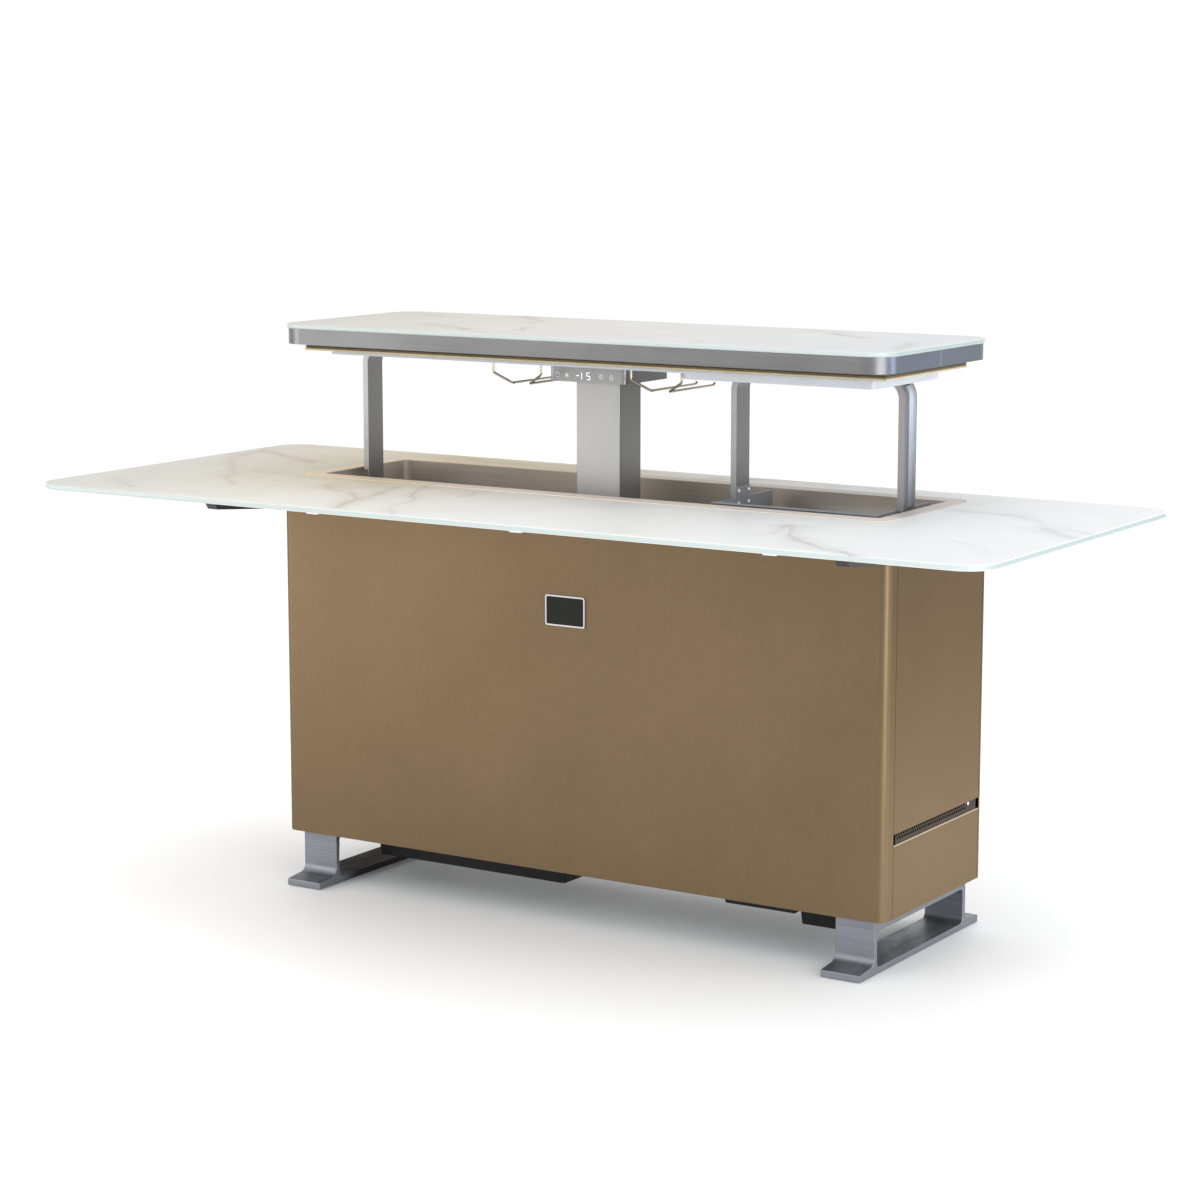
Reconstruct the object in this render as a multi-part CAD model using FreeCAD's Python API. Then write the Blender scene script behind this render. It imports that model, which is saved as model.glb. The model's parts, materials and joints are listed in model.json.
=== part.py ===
import FreeCAD, Part
import math
import os
from FreeCAD import Vector

os.makedirs("parts", exist_ok=True)

# Refrigerated dining table with a lifting centre lid. Sizes are millimetres.
# Every piece is laid out about the middle of the cabinet on the floor: +X to the right,
# the seating side at -Y, +Z up. The finished part has its origin under the middle of the table top.

# Table top: one glass sheet with a long opening
TOP_LENGTH = 1848.0
TOP_DEPTH = 746.0
TOP_THICK = 10.0
TOP_HEIGHT = 750.0
TOP_CORNER = 55.0
TOP_EDGE = 3.0
CABINET_BACK = 129.0

# Flat trim frame around the opening
TRIM_LENGTH = 1184.0
TRIM_DEPTH = 324.0
TRIM_BAND = 36.0
TRIM_END_BAND = 29.0
TRIM_THICK = 1.5
TRIM_CORNER = 26.0
TRIM_INNER_CORNER = 6.0
TRIM_LIP = 2.0
TRIM_EDGE = 0.6

# Cold tank and its insulation
TANK_WALL = 1.2
TANK_CORNER = 20.0
TANK_FLANGE = 10.0
CUTOUT_GAP = 1.8
FLOOR_FOAM = 42.0
EVAPORATOR_END = 65.0
EVAPORATOR_RISE = 50.0
EVAPORATOR_DROP = 70.0
EVAPORATOR_THICK = 1.5

# Cabinet panels of folded sheet
CABINET_MARGIN_X = 20.0
CABINET_MARGIN_Y = 23.0
CABINET_BOTTOM = 95.0
CABINET_CORNER = 16.0
SHEET = 1.2
PANEL_FLANGE = 20.0
PANEL_SEAM = 1.0
FRONT_RETURN = 30.0
REAR_RETURN = 17.5
FIT = 0.2

# Side vents
VENT_RISE = 124.0
VENT_HEIGHT = 19.0
VENT_LAP = 8.0
VENT_HOLE = 5.0
VENT_PITCH = 8.2
VENT_ROWS = 2
VENT_ROW_DROP = 2.8
VENT_ROW_PITCH = 6.1
VENT_BLANK = 30.0

# Rear air slots and the power inlet
SLOT_LENGTH = 60.0
SLOT_HEIGHT = 5.0
SLOT_PITCH = 13.0
SLOT_ROWS = 8
SLOT_GROUPS = (-310.0, -235.0)
SLOT_RISE = 35.0
INLET_INSET = 192.0
INLET_RISE = 55.0
INLET_WIDTH = 48.0
INLET_HEIGHT = 27.0
INLET_DEPTH = 25.0
INLET_WALL = 2.0
INLET_FLANGE = 6.0
INLET_PIN = 2.0
INLET_PIN_PITCH = 14.0

# Steel frame that carries the glass
PAD_THICK = 2.0
FRAME_HEIGHT = 34.0
FRAME_WALL = 3.0
ARM_WIDTH = 22.0
ARM_OUTSET = 12.0
ARM_REACH = 204.0
ARM_DROP = 14.0
ARM_NOSE = 22.0
ARM_TIP_RISE = 4.5
RAIL_WIDTH = 30.0
PAD_LENGTH = 40.0
PAD_WIDTH = 18.0
EDGE_PAD_LENGTH = 22.0
EDGE_PAD_WIDTH = 12.0
EDGE_PAD_INSET = 4.0
EDGE_PAD_X = (-304.0, 103.0, 566.0)

# Base plate, stiffening rails, feet
BASE_THICK = 3.0
BASE_RAIL_WIDTH = 30.0
BASE_RAIL_HEIGHT = 20.0
BASE_RAIL_INSET = 31.5
BASE_RAIL_WALL = 2.0
FOOT_INSET = 60.5
FOOT_WIDTH = 73.0
FOOT_EXTRA = 76.0
FOOT_SETBACK = 27.0
FOOT_Y = 3.0
FOOT_BAR = 12.0
FOOT_TOE = 13.0
FOOT_RAMP = 6.0
FOOT_HEAD = 22.0
FOOT_HEAD_WIDTH = 22.0
FOOT_PLATE = 5.0
FOOT_UPRIGHT = 10.0
FOOT_WINDOW_FILLET = 10.0
FOOT_TOE_FILLET = 14.0
FOOT_TIP_FILLET = 2.0
FOOT_EDGE = 1.2
FOOT_PAD_THICK = 1.0
FOOT_PAD_LENGTH = 60.0
FOOT_PAD_WIDTH = 55.0
FOOT_PAD_INSET = 4.0
BOLT = 8.0
BOLT_HEAD = 13.0
BOLT_HEAD_HEIGHT = 5.0
BOLT_NUT_HEIGHT = 6.0
BOLT_CLEARANCE = 0.2
FOOT_BOLT_X = 14.0
FOOT_BOLT_SHIFT = 10.0
FOOT_BOLT_INSET = 49.5

# Blank badge on the front
BADGE_X = -3.0
BADGE_DROP = 193.5
BADGE_WIDTH = 80.0
BADGE_HEIGHT = 53.0
BADGE_CORNER = 4.0
BADGE_BEZEL = 2.5
BADGE_RISE = 3.0
BADGE_PLATE = 2.0

# Compressor bay in a tub below the base
MACHINE_HEIGHT = 190.0
TUB_GAP = 34.0
TUB_OVERRUN = 11.0
TUB_DROP = 50.0
TUB_HALF_DEPTH = 84.0
TUB_WALL = 2.5
TUB_CORNER = 8.0
TUB_LEDGE = 20.0
COMPRESSOR_RADIUS = 68.0
COMPRESSOR_HEIGHT = 158.0
COMPRESSOR_DOME = 38.0
COMPRESSOR_PLATE = 3.0
COMPRESSOR_PLATE_X = 170.0
COMPRESSOR_PLATE_Y = 120.0
MOUNT_HEIGHT = 12.0
MOUNT_RADIUS = 11.0
MOUNT_INSET = 15.0

# Condenser and fan at the right end
SHROUD_INSET = 97.5
SHROUD_SHEET = 2.0
SHROUD_DEPTH = 20.0
COIL_GAP = 2.5
COIL_HEADROOM = 22.0
COIL_DEPTH = 45.0
FIN_COUNT = 20
FIN_THICK = 1.0
COIL_TUBE = 4.0
COIL_TUBE_ROWS = 6
FAN_RADIUS = 74.0
FAN_GAP = 4.0
FAN_HUB = 22.0
FAN_BLADES = 5
FAN_BLADE_THICK = 2.0
FAN_BLADE_WIDTH = 34.0
FAN_BLADE_PITCH = 35.0
FAN_ROTOR_LEAD = 15.0
FAN_ROTOR_DEPTH = 18.0
FAN_MOTOR_RADIUS = 25.0
FAN_MOTOR_LENGTH = 45.0
FAN_MOTOR_GAP = 3.0
FAN_SHAFT = 3.0
FAN_SHAFT_LENGTH = 20.0
PEDESTAL_WIDTH = 30.0
RUN = 0.06
PIPE = 3.2
PIPE_BEND = 16.0
PIPE_RISE = 52.0
LIQUID_LEAD = 140.0
LIQUID_RISE = 32.0
DRIER_RADIUS = 9.0
DRIER_LENGTH = 90.0

# Power electronics box and cable duct below the base
POWER_GAP = 14.0
POWER_LENGTH = 96.0
POWER_FRONT = -92.0
POWER_REAR = 60.0
POWER_SLANT = 7.0
POWER_WALL = 2.5
DUCT_STEP = 64.0
DUCT_LENGTH = 144.0
DUCT_FRONT = -155.0
DUCT_REAR = -96.0
DUCT_DROP = 15.0
DUCT_SLANT = 6.0

# Lifting column
COLUMN_X = -32.5
COLUMN_WIDTH = 89.0
COLUMN_DEPTH = 72.7
COLUMN_WALL = 3.0
COLUMN_CORNER = 3.0
COLUMN_OVERLAP = 140.0
OUTER_DROP = 50.0
GLIDE = 2.6
GLIDE_GAP = 0.08
GLIDE_HEIGHT = 40.0
GLIDE_MARGIN = 14.0
WIPER_HEIGHT = 5.0
WIPER_GAP = 0.3
SEAL_HEIGHT = 10.0
SEAL_WIDTH = 10.0
FLANGE_SIDE = 26.0
FLANGE_THICK = 5.0
COLUMN_BOLT_INSET = 12.0
MOTOR_RADIUS = 31.0
MOTOR_HEIGHT = 133.0
GEAR_RADIUS = 25.0
GEAR_HEIGHT = 22.0
BEARING_THICK = 10.0
SPINDLE = 8.0
SPINDLE_SEAT = 12.0
SPINDLE_DROP = 10.0
COLLAR_RADIUS = 13.0
COLLAR_HEIGHT = 6.0
COLLAR_GAP = 0.3
NUT_HEIGHT = 24.0

# Lid
LID_RISE = 275.0
LID_LAP_X = 18.0
LID_LAP_Y = 38.0
LID_GLASS = 8.0
LID_CORNER = 50.0
LID_EDGE = 2.5
RIM_INSET = 3.0
RIM_HEIGHT = 27.6
RIM_WALL = 2.0
GASKET_LAP_X = 20.5
GASKET_LAP_Y = 24.0
GASKET_WIDTH = 11.0
GASKET_BEAD = 7.9
CARRIER_HEIGHT = 6.0
CARRIER_INSET = 2.0
LINER_GAP_X = 14.5
LINER_GAP_Y = 5.0
LINER_CORNER = 8.0
LINER_DROP = 21.4
LINER_WALL = 2.5
PLUG_LEFT = 173.0
PLUG_ROUND = 34.0
PLUG_END = 2.0
PLUG_SIDE = 1.0
PLUG_DROP = 10.0

# Control head at the top of the column
HEAD_SHIFT = -9.0
HEAD_WIDTH = 156.0
HEAD_DEPTH = 144.0
HEAD_Y = 16.0
HEAD_HEIGHT = 32.0
HEAD_CORNER = 8.0
HEAD_WALL = 1.5
HEAD_GAP = 0.5
CAP_THICK = 6.0
CAP_INSET = 14.0
BOARD_THICK = 4.0
BOARD_MARGIN = 12.0
BOARD_EDGE = 5.0

# Hanging straps, trays and stemware racks
STRAP_LEFT_GAP = 19.0
STRAP_MIDDLE = 232.0
STRAP_RIGHT_GAP = 15.0
STRAP_WIDTH = 45.0
STRAP_DEPTH = 11.0
STRAP_SHEET = 2.0
STRAP_BEND = 28.0
STRAP_BEND_RISE = 24.0
STRAP_FLANGE_DROP = 1.0
STRAP_DROP = 18.0
TRAY_RISE = 1.0
TRAY_TAB_RISE = 20.0
TRAY_PLATE = 2.0
TRAY_SIDE_HEIGHT = 26.0
TRAY_FRONT = -107.0
TRAY_REAR = 102.0
TRAY_ROD = 2.5
TRAY_ROD_RISE = 3.0
PAN_FRONT = -100.0
PAN_REAR = 60.0
PAN_TOP_DROP = 30.0
PAN_HEIGHT = 75.0
PAN_SHEET = 1.2
SHELF_LENGTH = 200.0
SHELF_HALF_DEPTH = 100.0
SHELF_DROP = 150.0
SHELF_WALL = 40.0
SHELF_TAB = 90.0
SCREW_HEAD = 3.2
SCREW_RISE = 2.4
SCREW_Y = 17.0
SCREW_PITCH_Z = 21.0
SCREW_DROP = 8.0
RACK_LEFT = -168.0
RACK_RIGHT = 116.0
RACK_WIRE = 2.1
RACK_HALF_WIDTH = 50.0
RACK_HALF_GAP = 18.0
RACK_FRONT = -85.0
RACK_RAIL_FRONT = -72.0
RACK_RAIL_REAR = 78.0
RACK_LEG = 20.0
RACK_DROP = 38.0
RACK_TIP = 3.5
RACK_BEND = 6.0

# Levels of the top and sizes of the opening
top_under = TOP_HEIGHT - TOP_THICK
frame_top = top_under - PAD_THICK
panel_top = frame_top - FRAME_HEIGHT
trim_top = TOP_HEIGHT + TRIM_THICK
opening_length = TRIM_LENGTH - 2 * TRIM_END_BAND
opening_depth = TRIM_DEPTH - 2 * TRIM_BAND
tank_length = opening_length + 2 * TRIM_LIP
tank_depth = opening_depth + 2 * TRIM_LIP
tank_out_length = tank_length + 2 * TANK_WALL
tank_out_depth = tank_depth + 2 * TANK_WALL
tank_out_corner = TANK_CORNER + TANK_WALL
flange_length = tank_out_length + 2 * TANK_FLANGE
flange_depth = tank_out_depth + 2 * TANK_FLANGE
flange_corner = tank_out_corner + TANK_FLANGE

# Cabinet
cabinet_length = TRIM_LENGTH + 2 * CABINET_MARGIN_X
cabinet_depth = TRIM_DEPTH + 2 * CABINET_MARGIN_Y
half_length = cabinet_length / 2
half_depth = cabinet_depth / 2
inside_length = cabinet_length - 2 * SHEET
inside_depth = cabinet_depth - 2 * SHEET
inside_corner = CABINET_CORNER - SHEET
vent_bottom = CABINET_BOTTOM + VENT_RISE
vent_top = vent_bottom + VENT_HEIGHT
slot_bottom = CABINET_BOTTOM + SLOT_RISE
inlet_x = half_length - INLET_INSET
inlet_z = CABINET_BOTTOM + INLET_RISE
arm_x = half_length + ARM_OUTSET
base_top = CABINET_BOTTOM + BASE_THICK
base_rail_y = half_depth - BASE_RAIL_INSET
badge_z = TOP_HEIGHT - BADGE_DROP

# Tank levels
insulation_bottom = base_top + MACHINE_HEIGHT
tank_floor = insulation_bottom + FLOOR_FOAM
evaporator_length = tank_length - 2 * EVAPORATOR_END
evaporator_bottom = tank_floor + EVAPORATOR_RISE
evaporator_top = top_under - EVAPORATOR_DROP

# Feet
foot_x = half_length - FOOT_INSET
foot_length = cabinet_depth + FOOT_EXTRA
foot_span = cabinet_depth - FOOT_SETBACK
foot_inner = foot_x - FOOT_WIDTH / 2
foot_bolt_y = foot_span / 2 - FOOT_BOLT_INSET

# Column and its drive
guide_width = COLUMN_WIDTH + 2 * (GLIDE + GLIDE_GAP)
guide_depth = COLUMN_DEPTH + 2 * (GLIDE + GLIDE_GAP)
outer_width = guide_width + 2 * COLUMN_WALL
outer_depth = guide_depth + 2 * COLUMN_WALL
outer_corner = COLUMN_CORNER + COLUMN_WALL
outer_top = TOP_HEIGHT - OUTER_DROP
column_bottom = outer_top - COLUMN_OVERLAP
spindle_top = outer_top - SPINDLE_DROP
motor_bottom = base_top + FLANGE_THICK
gear_bottom = motor_bottom + MOTOR_HEIGHT
bearing_bottom = gear_bottom + GEAR_HEIGHT
bearing_top = bearing_bottom + BEARING_THICK

# Cooling machine and power box
tub_left = -foot_inner + TUB_GAP
tub_right = COLUMN_X - outer_width / 2 + TUB_OVERRUN
tub_bottom = CABINET_BOTTOM - TUB_DROP
compressor_x = (tub_left + tub_right) / 2
shroud_x = half_length - SHROUD_INSET
coil_half = foot_bolt_y - FOOT_Y - BOLT_HEAD / 2 - COIL_GAP
coil_height = MACHINE_HEIGHT - COIL_HEADROOM
fan_z = base_top + coil_height / 2
fan_rotor_x = shroud_x - FAN_ROTOR_LEAD
pipe_z = base_top + PIPE_RISE
liquid_x = shroud_x - LIQUID_LEAD
liquid_z = base_top + LIQUID_RISE
power_right = foot_inner - POWER_GAP
power_left = power_right - POWER_LENGTH
power_bottom = tub_bottom
duct_right = power_right - DUCT_STEP
duct_left = duct_right - DUCT_LENGTH

# Lid
lid_length = TRIM_LENGTH + 2 * LID_LAP_X
lid_depth = TRIM_DEPTH + 2 * LID_LAP_Y
lid_top = TOP_HEIGHT + LID_RISE
rim_top = lid_top - LID_GLASS
rim_bottom = rim_top - RIM_HEIGHT
gasket_length = opening_length + 2 * GASKET_LAP_X
gasket_depth = opening_depth + 2 * GASKET_LAP_Y
gasket_top = rim_bottom - CARRIER_HEIGHT
liner_length = opening_length - 2 * LINER_GAP_X
liner_depth = opening_depth - 2 * LINER_GAP_Y
liner_bottom = rim_bottom - LINER_DROP
plug_right = liner_length / 2 - PLUG_END
plug_depth = liner_depth - 2 * PLUG_SIDE
plug_bottom = liner_bottom - PLUG_DROP

# Head, straps, trays and racks
head_x = COLUMN_X + HEAD_SHIFT
head_bottom = liner_bottom - HEAD_HEIGHT
column_top = liner_bottom - CAP_THICK
strap_left = STRAP_LEFT_GAP - opening_length / 2
strap_right = opening_length / 2 - STRAP_RIGHT_GAP
strap_flange_end = TOP_HEIGHT - STRAP_FLANGE_DROP
strap_end = TOP_HEIGHT - STRAP_DROP
tray_top = TOP_HEIGHT + TRAY_RISE
tray_tab_top = TOP_HEIGHT + TRAY_TAB_RISE
pan_top = TOP_HEIGHT - PAN_TOP_DROP
pan_bottom = pan_top - PAN_HEIGHT
shelf_bottom = TOP_HEIGHT - SHELF_DROP
shelf_tab_top = shelf_bottom + SHELF_TAB


def box(x0, x1, y0, y1, z0, z1):
    return Part.makeBox(x1 - x0, y1 - y0, z1 - z0, Vector(x0, y0, z0))


def slab(length, depth, radius, z0, z1, x=0.0, y=0.0):
    """A plate with rounded upright corners, centred on x, y."""
    plate = box(x - length / 2, x + length / 2, y - depth / 2, y + depth / 2, z0, z1)
    if radius <= 0:
        return plate
    upright = [e for e in plate.Edges if abs(e.BoundBox.ZLength - (z1 - z0)) < 1e-6]
    return plate.makeFillet(radius, upright)


def cylinder(start, direction, radius, length):
    return Part.makeCylinder(radius, length, Vector(*start), Vector(*direction))


def prism_x(outline, x0, x1):
    """Extrude an outline of (y, z) points along X."""
    wire = Part.makePolygon([Vector(x0, y, z) for y, z in outline + outline[:1]])
    return Part.Face(wire).extrude(Vector(x1 - x0, 0, 0))


def prism_y(outline, y0, y1):
    """Extrude an outline of (x, z) points along Y."""
    wire = Part.makePolygon([Vector(x, y0, z) for x, z in outline + outline[:1]])
    return Part.Face(wire).extrude(Vector(0, y1 - y0, 0))


def round_along_x(solid, places, radius):
    """Fillet the edges that run along X through the (y, z) places."""
    chosen = []
    for edge in solid.Edges:
        bounds = edge.BoundBox
        if bounds.YLength > 1e-6 or bounds.ZLength > 1e-6:
            continue
        for y, z in places:
            if abs(bounds.YMin - y) < 1e-4 and abs(bounds.ZMin - z) < 1e-4:
                chosen.append(edge)
    return solid.makeFillet(radius, chosen)


def soften_rims(solid, radius):
    """Round the edges of the upper and lower faces of a plate."""
    flat = [e for e in solid.Edges if e.BoundBox.ZLength < 1e-6]
    return solid.makeFillet(radius, flat)


def bent_rod(points, radius, bend):
    """A round rod along straight runs joined by tangent arcs."""
    corners = [Vector(*p) for p in points]
    edges = []
    start = corners[0]
    for before, corner, after in zip(corners, corners[1:], corners[2:]):
        toward = (before - corner).normalize()
        away = (after - corner).normalize()
        half_turn = (math.pi - toward.getAngle(away)) / 2
        setback = bend * math.tan(half_turn)
        first = corner + toward * setback
        last = corner + away * setback
        inward = (toward + away).normalize()
        middle = corner + inward * (bend / math.cos(half_turn) - bend)
        edges.append(Part.LineSegment(start, first).toShape())
        edges.append(Part.Arc(first, middle, last).toShape())
        start = last
    edges.append(Part.LineSegment(start, corners[-1]).toShape())
    path = Part.Wire(edges)
    section = Part.Wire(Part.makeCircle(radius, corners[0], corners[1] - corners[0]))
    return path.makePipeShell([section], True, False)


def mirror_x(solid):
    return solid.mirror(Vector(0, 0, 0), Vector(1, 0, 0))


def save(name, *solids):
    """Write one node, with the origin moved under the middle of the table top."""
    shape = solids[0] if len(solids) == 1 else Part.makeCompound(list(solids))
    shape = shape.copy()
    shape.translate(Vector(0, CABINET_BACK, 0))
    shape.exportStep("parts/" + name + ".step")


# Glass top and trim
def table_top():
    sheet = slab(TOP_LENGTH, TOP_DEPTH, TOP_CORNER, top_under, TOP_HEIGHT, 0, -CABINET_BACK)
    sheet = soften_rims(sheet, TOP_EDGE)
    hole = slab(flange_length + 2 * CUTOUT_GAP, flange_depth + 2 * CUTOUT_GAP, flange_corner,
                top_under - 1, TOP_HEIGHT + 1)
    save("table_top", sheet.cut(hole))


def opening_trim():
    frame = slab(TRIM_LENGTH, TRIM_DEPTH, TRIM_CORNER, TOP_HEIGHT, trim_top)
    hole = slab(opening_length, opening_depth, TRIM_INNER_CORNER, TOP_HEIGHT - 1, trim_top + 1)
    upper = [e for e in frame.Edges if e.BoundBox.ZMin > trim_top - 1e-6]
    frame = frame.makeFillet(TRIM_EDGE, upper)
    save("opening_trim", frame.cut(hole))


# Steel frame under the glass
def support_frame():
    front = -half_depth
    rear = half_depth
    tip = front - ARM_REACH
    root = front - FIT
    tip_bottom = panel_top + ARM_TIP_RISE
    outline = [(tip, frame_top), (rear, frame_top), (rear, panel_top), (root, panel_top),
               (root, panel_top - ARM_DROP), (tip + ARM_NOSE, tip_bottom)]
    hollow = [(tip + ARM_NOSE, frame_top - FRAME_WALL), (rear + 1, frame_top - FRAME_WALL),
              (rear + 1, tip_bottom + FRAME_WALL), (tip + ARM_NOSE, tip_bottom + FRAME_WALL)]
    inner = arm_x - ARM_WIDTH / 2
    outer = arm_x + ARM_WIDTH / 2
    arm = prism_x(outline, inner, outer)
    arm = arm.cut(prism_x(hollow, inner + FRAME_WALL, outer - FRAME_WALL))
    frame = arm.fuse(mirror_x(arm))
    for side in (-1, 1):
        centre = side * (half_depth - RAIL_WIDTH / 2 - SHEET)
        rail = box(-inner, inner, centre - RAIL_WIDTH / 2, centre + RAIL_WIDTH / 2, panel_top, frame_top)
        bore = box(-inner, inner, centre - RAIL_WIDTH / 2 + FRAME_WALL,
                   centre + RAIL_WIDTH / 2 - FRAME_WALL,
                   panel_top + FRAME_WALL, frame_top - FRAME_WALL)
        frame = frame.fuse(rail.cut(bore))
    save("support_frame", frame.removeSplitter())


def top_pads():
    pads = []
    arm_places = [-half_depth - 0.8 * ARM_REACH, -half_depth, half_depth - PAD_LENGTH]
    for side in (-1, 1):
        for y in arm_places:
            pads.append(box(side * arm_x - PAD_WIDTH / 2, side * arm_x + PAD_WIDTH / 2, y, y + PAD_LENGTH,
                            frame_top, top_under))
        rail_y = side * (half_depth - RAIL_WIDTH / 2 - SHEET)
        for x in (-0.5 * half_length, 0.0, 0.5 * half_length):
            pads.append(box(x - PAD_LENGTH / 2, x + PAD_LENGTH / 2, rail_y - PAD_WIDTH / 2,
                            rail_y + PAD_WIDTH / 2,
                            frame_top, top_under))
    edge = -CABINET_BACK - TOP_DEPTH / 2 + EDGE_PAD_INSET
    for x in EDGE_PAD_X:
        pads.append(box(x - EDGE_PAD_LENGTH / 2, x + EDGE_PAD_LENGTH / 2, edge, edge + EDGE_PAD_WIDTH,
                        frame_top, top_under))
    save("top_pads", *pads)


# Cabinet panels: one folded skin divided at its seams
def cabinet_skin():
    skin = slab(cabinet_length, cabinet_depth, CABINET_CORNER, CABINET_BOTTOM, panel_top)
    hollow = slab(inside_length, inside_depth, inside_corner, CABINET_BOTTOM - 1, panel_top - SHEET)
    mouth = slab(cabinet_length - 2 * PANEL_FLANGE, cabinet_depth - 2 * PANEL_FLANGE, 0,
                 panel_top - SHEET - 1, panel_top + 1)
    return skin.cut(hollow).cut(mouth)


def inlet_cut():
    return box(inlet_x - INLET_WIDTH / 2, inlet_x + INLET_WIDTH / 2, half_depth - PANEL_FLANGE,
               half_depth + 1,
               inlet_z - INLET_HEIGHT / 2, inlet_z + INLET_HEIGHT / 2)


def cabinet_panels():
    skin = cabinet_skin()
    wide = cabinet_length
    front_seam = -half_depth + FRONT_RETURN
    rear_seam = half_depth - REAR_RETURN
    front = skin.common(box(-wide, wide, -wide, front_seam, 0, TOP_HEIGHT))
    rear = skin.common(box(-wide, wide, rear_seam, wide, 0, TOP_HEIGHT))
    for group in SLOT_GROUPS:
        for row in range(SLOT_ROWS):
            z = slot_bottom + row * SLOT_PITCH
            rear = rear.cut(box(group, group + SLOT_LENGTH, half_depth - PANEL_FLANGE + SHEET,
                                half_depth + 1,
                                z, z + SLOT_HEIGHT))
    save("front_panel", front)
    save("rear_panel", rear.cut(inlet_cut()))
    side_front = front_seam + PANEL_SEAM
    side_rear = rear_seam - PANEL_SEAM
    inner = half_length - PANEL_FLANGE
    upper = skin.common(box(inner, wide, side_front, side_rear, vent_top, TOP_HEIGHT))
    lower = skin.common(box(inner, wide, side_front, side_rear, 0, vent_bottom))
    save("side_panel_right", upper)
    save("side_panel_left", mirror_x(upper))
    save("lower_panel_right", lower)
    save("lower_panel_left", mirror_x(lower))


def vent_grilles():
    outer = half_length - SHEET
    rear = half_depth - REAR_RETURN - PANEL_SEAM - VENT_LAP
    front = -half_depth + FRONT_RETURN + PANEL_SEAM + VENT_LAP
    strip = box(outer - SHEET, outer, front, rear, vent_bottom - VENT_LAP, vent_top + VENT_LAP)
    columns = int((rear - front - VENT_BLANK) / VENT_PITCH - 0.5)
    holes = []
    for row in range(VENT_ROWS):
        z = vent_top - VENT_ROW_DROP - row * VENT_ROW_PITCH
        for column in range(columns):
            y = front + VENT_PITCH * (column + 0.5 + 0.5 * (row % 2))
            holes.append(cylinder((outer - SHEET - 1, y, z), (1, 0, 0), VENT_HOLE / 2, SHEET + 2))
    strip = strip.cut(Part.makeCompound(holes))
    save("vent_grille_right", strip)
    save("vent_grille_left", mirror_x(strip))


# Base, feet and bolts
def foot_bolt_places():
    return [(side * (foot_x - FOOT_BOLT_SHIFT) + dx * FOOT_BOLT_X, FOOT_Y + dy * foot_bolt_y)
            for side in (-1, 1) for dx in (-1, 1) for dy in (-1, 1)]


def column_bolt_places():
    dx = outer_width / 2 + FLANGE_SIDE - COLUMN_BOLT_INSET
    dy = outer_depth / 2 + FLANGE_SIDE - COLUMN_BOLT_INSET
    return [(COLUMN_X + i * dx, j * dy) for i in (-1, 1) for j in (-1, 1)]


def bolt_holes(places, z0, z1):
    radius = BOLT / 2 + BOLT_CLEARANCE
    return Part.makeCompound([cylinder((x, y, z0), (0, 0, 1), radius, z1 - z0) for x, y in places])


def base_plate():
    plate = slab(inside_length - 2 * FIT, inside_depth - 2 * FIT, inside_corner, CABINET_BOTTOM, base_top)
    for side in (-1, 1):
        y0 = side * base_rail_y - BASE_RAIL_WIDTH / 2
        y1 = y0 + BASE_RAIL_WIDTH
        end = half_length - PANEL_FLANGE
        rail = box(-end, end, y0, y1, base_top, base_top + BASE_RAIL_HEIGHT)
        bore = box(-end, end, y0 + BASE_RAIL_WALL, y1 - BASE_RAIL_WALL, base_top,
                   base_top + BASE_RAIL_HEIGHT - BASE_RAIL_WALL)
        plate = plate.fuse(rail.cut(bore))
    well = box(tub_left + TUB_LEDGE, tub_right - TUB_OVERRUN - 2 * TUB_LEDGE, -TUB_HALF_DEPTH + TUB_LEDGE / 2,
               TUB_HALF_DEPTH - TUB_LEDGE / 2, CABINET_BOTTOM - 1, base_top + 1)
    places = foot_bolt_places() + column_bolt_places()
    save("base_plate", plate.cut(well).cut(bolt_holes(places, CABINET_BOTTOM - 1, base_top + 1)))


def foot(side):
    """A rounded frame with toes; its head is deep on the outer side and a thin plate on the inner side."""
    x = side * foot_x
    length = foot_length / 2
    span = foot_span / 2
    window = span - FOOT_UPRIGHT
    low = FOOT_PAD_THICK
    high = CABINET_BOTTOM
    ramp = FOOT_BAR + FOOT_RAMP
    outline = [(-length, low), (length, low), (length, FOOT_TOE), (span, ramp),
               (span, high), (-span, high), (-span, ramp), (-length, FOOT_TOE)]
    solid = prism_x(outline, x - FOOT_WIDTH / 2, x + FOOT_WIDTH / 2)
    head = high - FOOT_HEAD
    hole = prism_x([(-window, FOOT_BAR), (window, FOOT_BAR), (window, head), (-window, head)],
                   x - FOOT_WIDTH, x + FOOT_WIDTH)
    solid = solid.cut(hole)
    corners = [(s * window, z) for s in (-1, 1) for z in (FOOT_BAR, head)]
    solid = round_along_x(solid, corners, FOOT_WINDOW_FILLET)
    solid = round_along_x(solid, [(s * span, ramp) for s in (-1, 1)], FOOT_TOE_FILLET)
    solid = round_along_x(solid, [(s * length, FOOT_TOE) for s in (-1, 1)], FOOT_TIP_FILLET)
    rims = [e for e in solid.Edges if e.BoundBox.XLength < 1e-6 and e.BoundBox.ZMin < high - 1]
    solid = solid.makeFillet(FOOT_EDGE, rims)
    step = x + side * (FOOT_WIDTH / 2 - FOOT_HEAD_WIDTH)
    inner = x - side * FOOT_WIDTH
    recess = box(min(step, inner), max(step, inner), -window, window, FOOT_BAR + 2 * FOOT_WINDOW_FILLET,
                 high - FOOT_PLATE)
    recess = round_along_x(recess, [(s * window, high - FOOT_PLATE) for s in (-1, 1)], FOOT_WINDOW_FILLET)
    solid = solid.cut(recess)
    solid.translate(Vector(0, FOOT_Y, 0))
    return solid.cut(bolt_holes(foot_bolt_places(), high - FOOT_PLATE - 1, high + 1))


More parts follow.
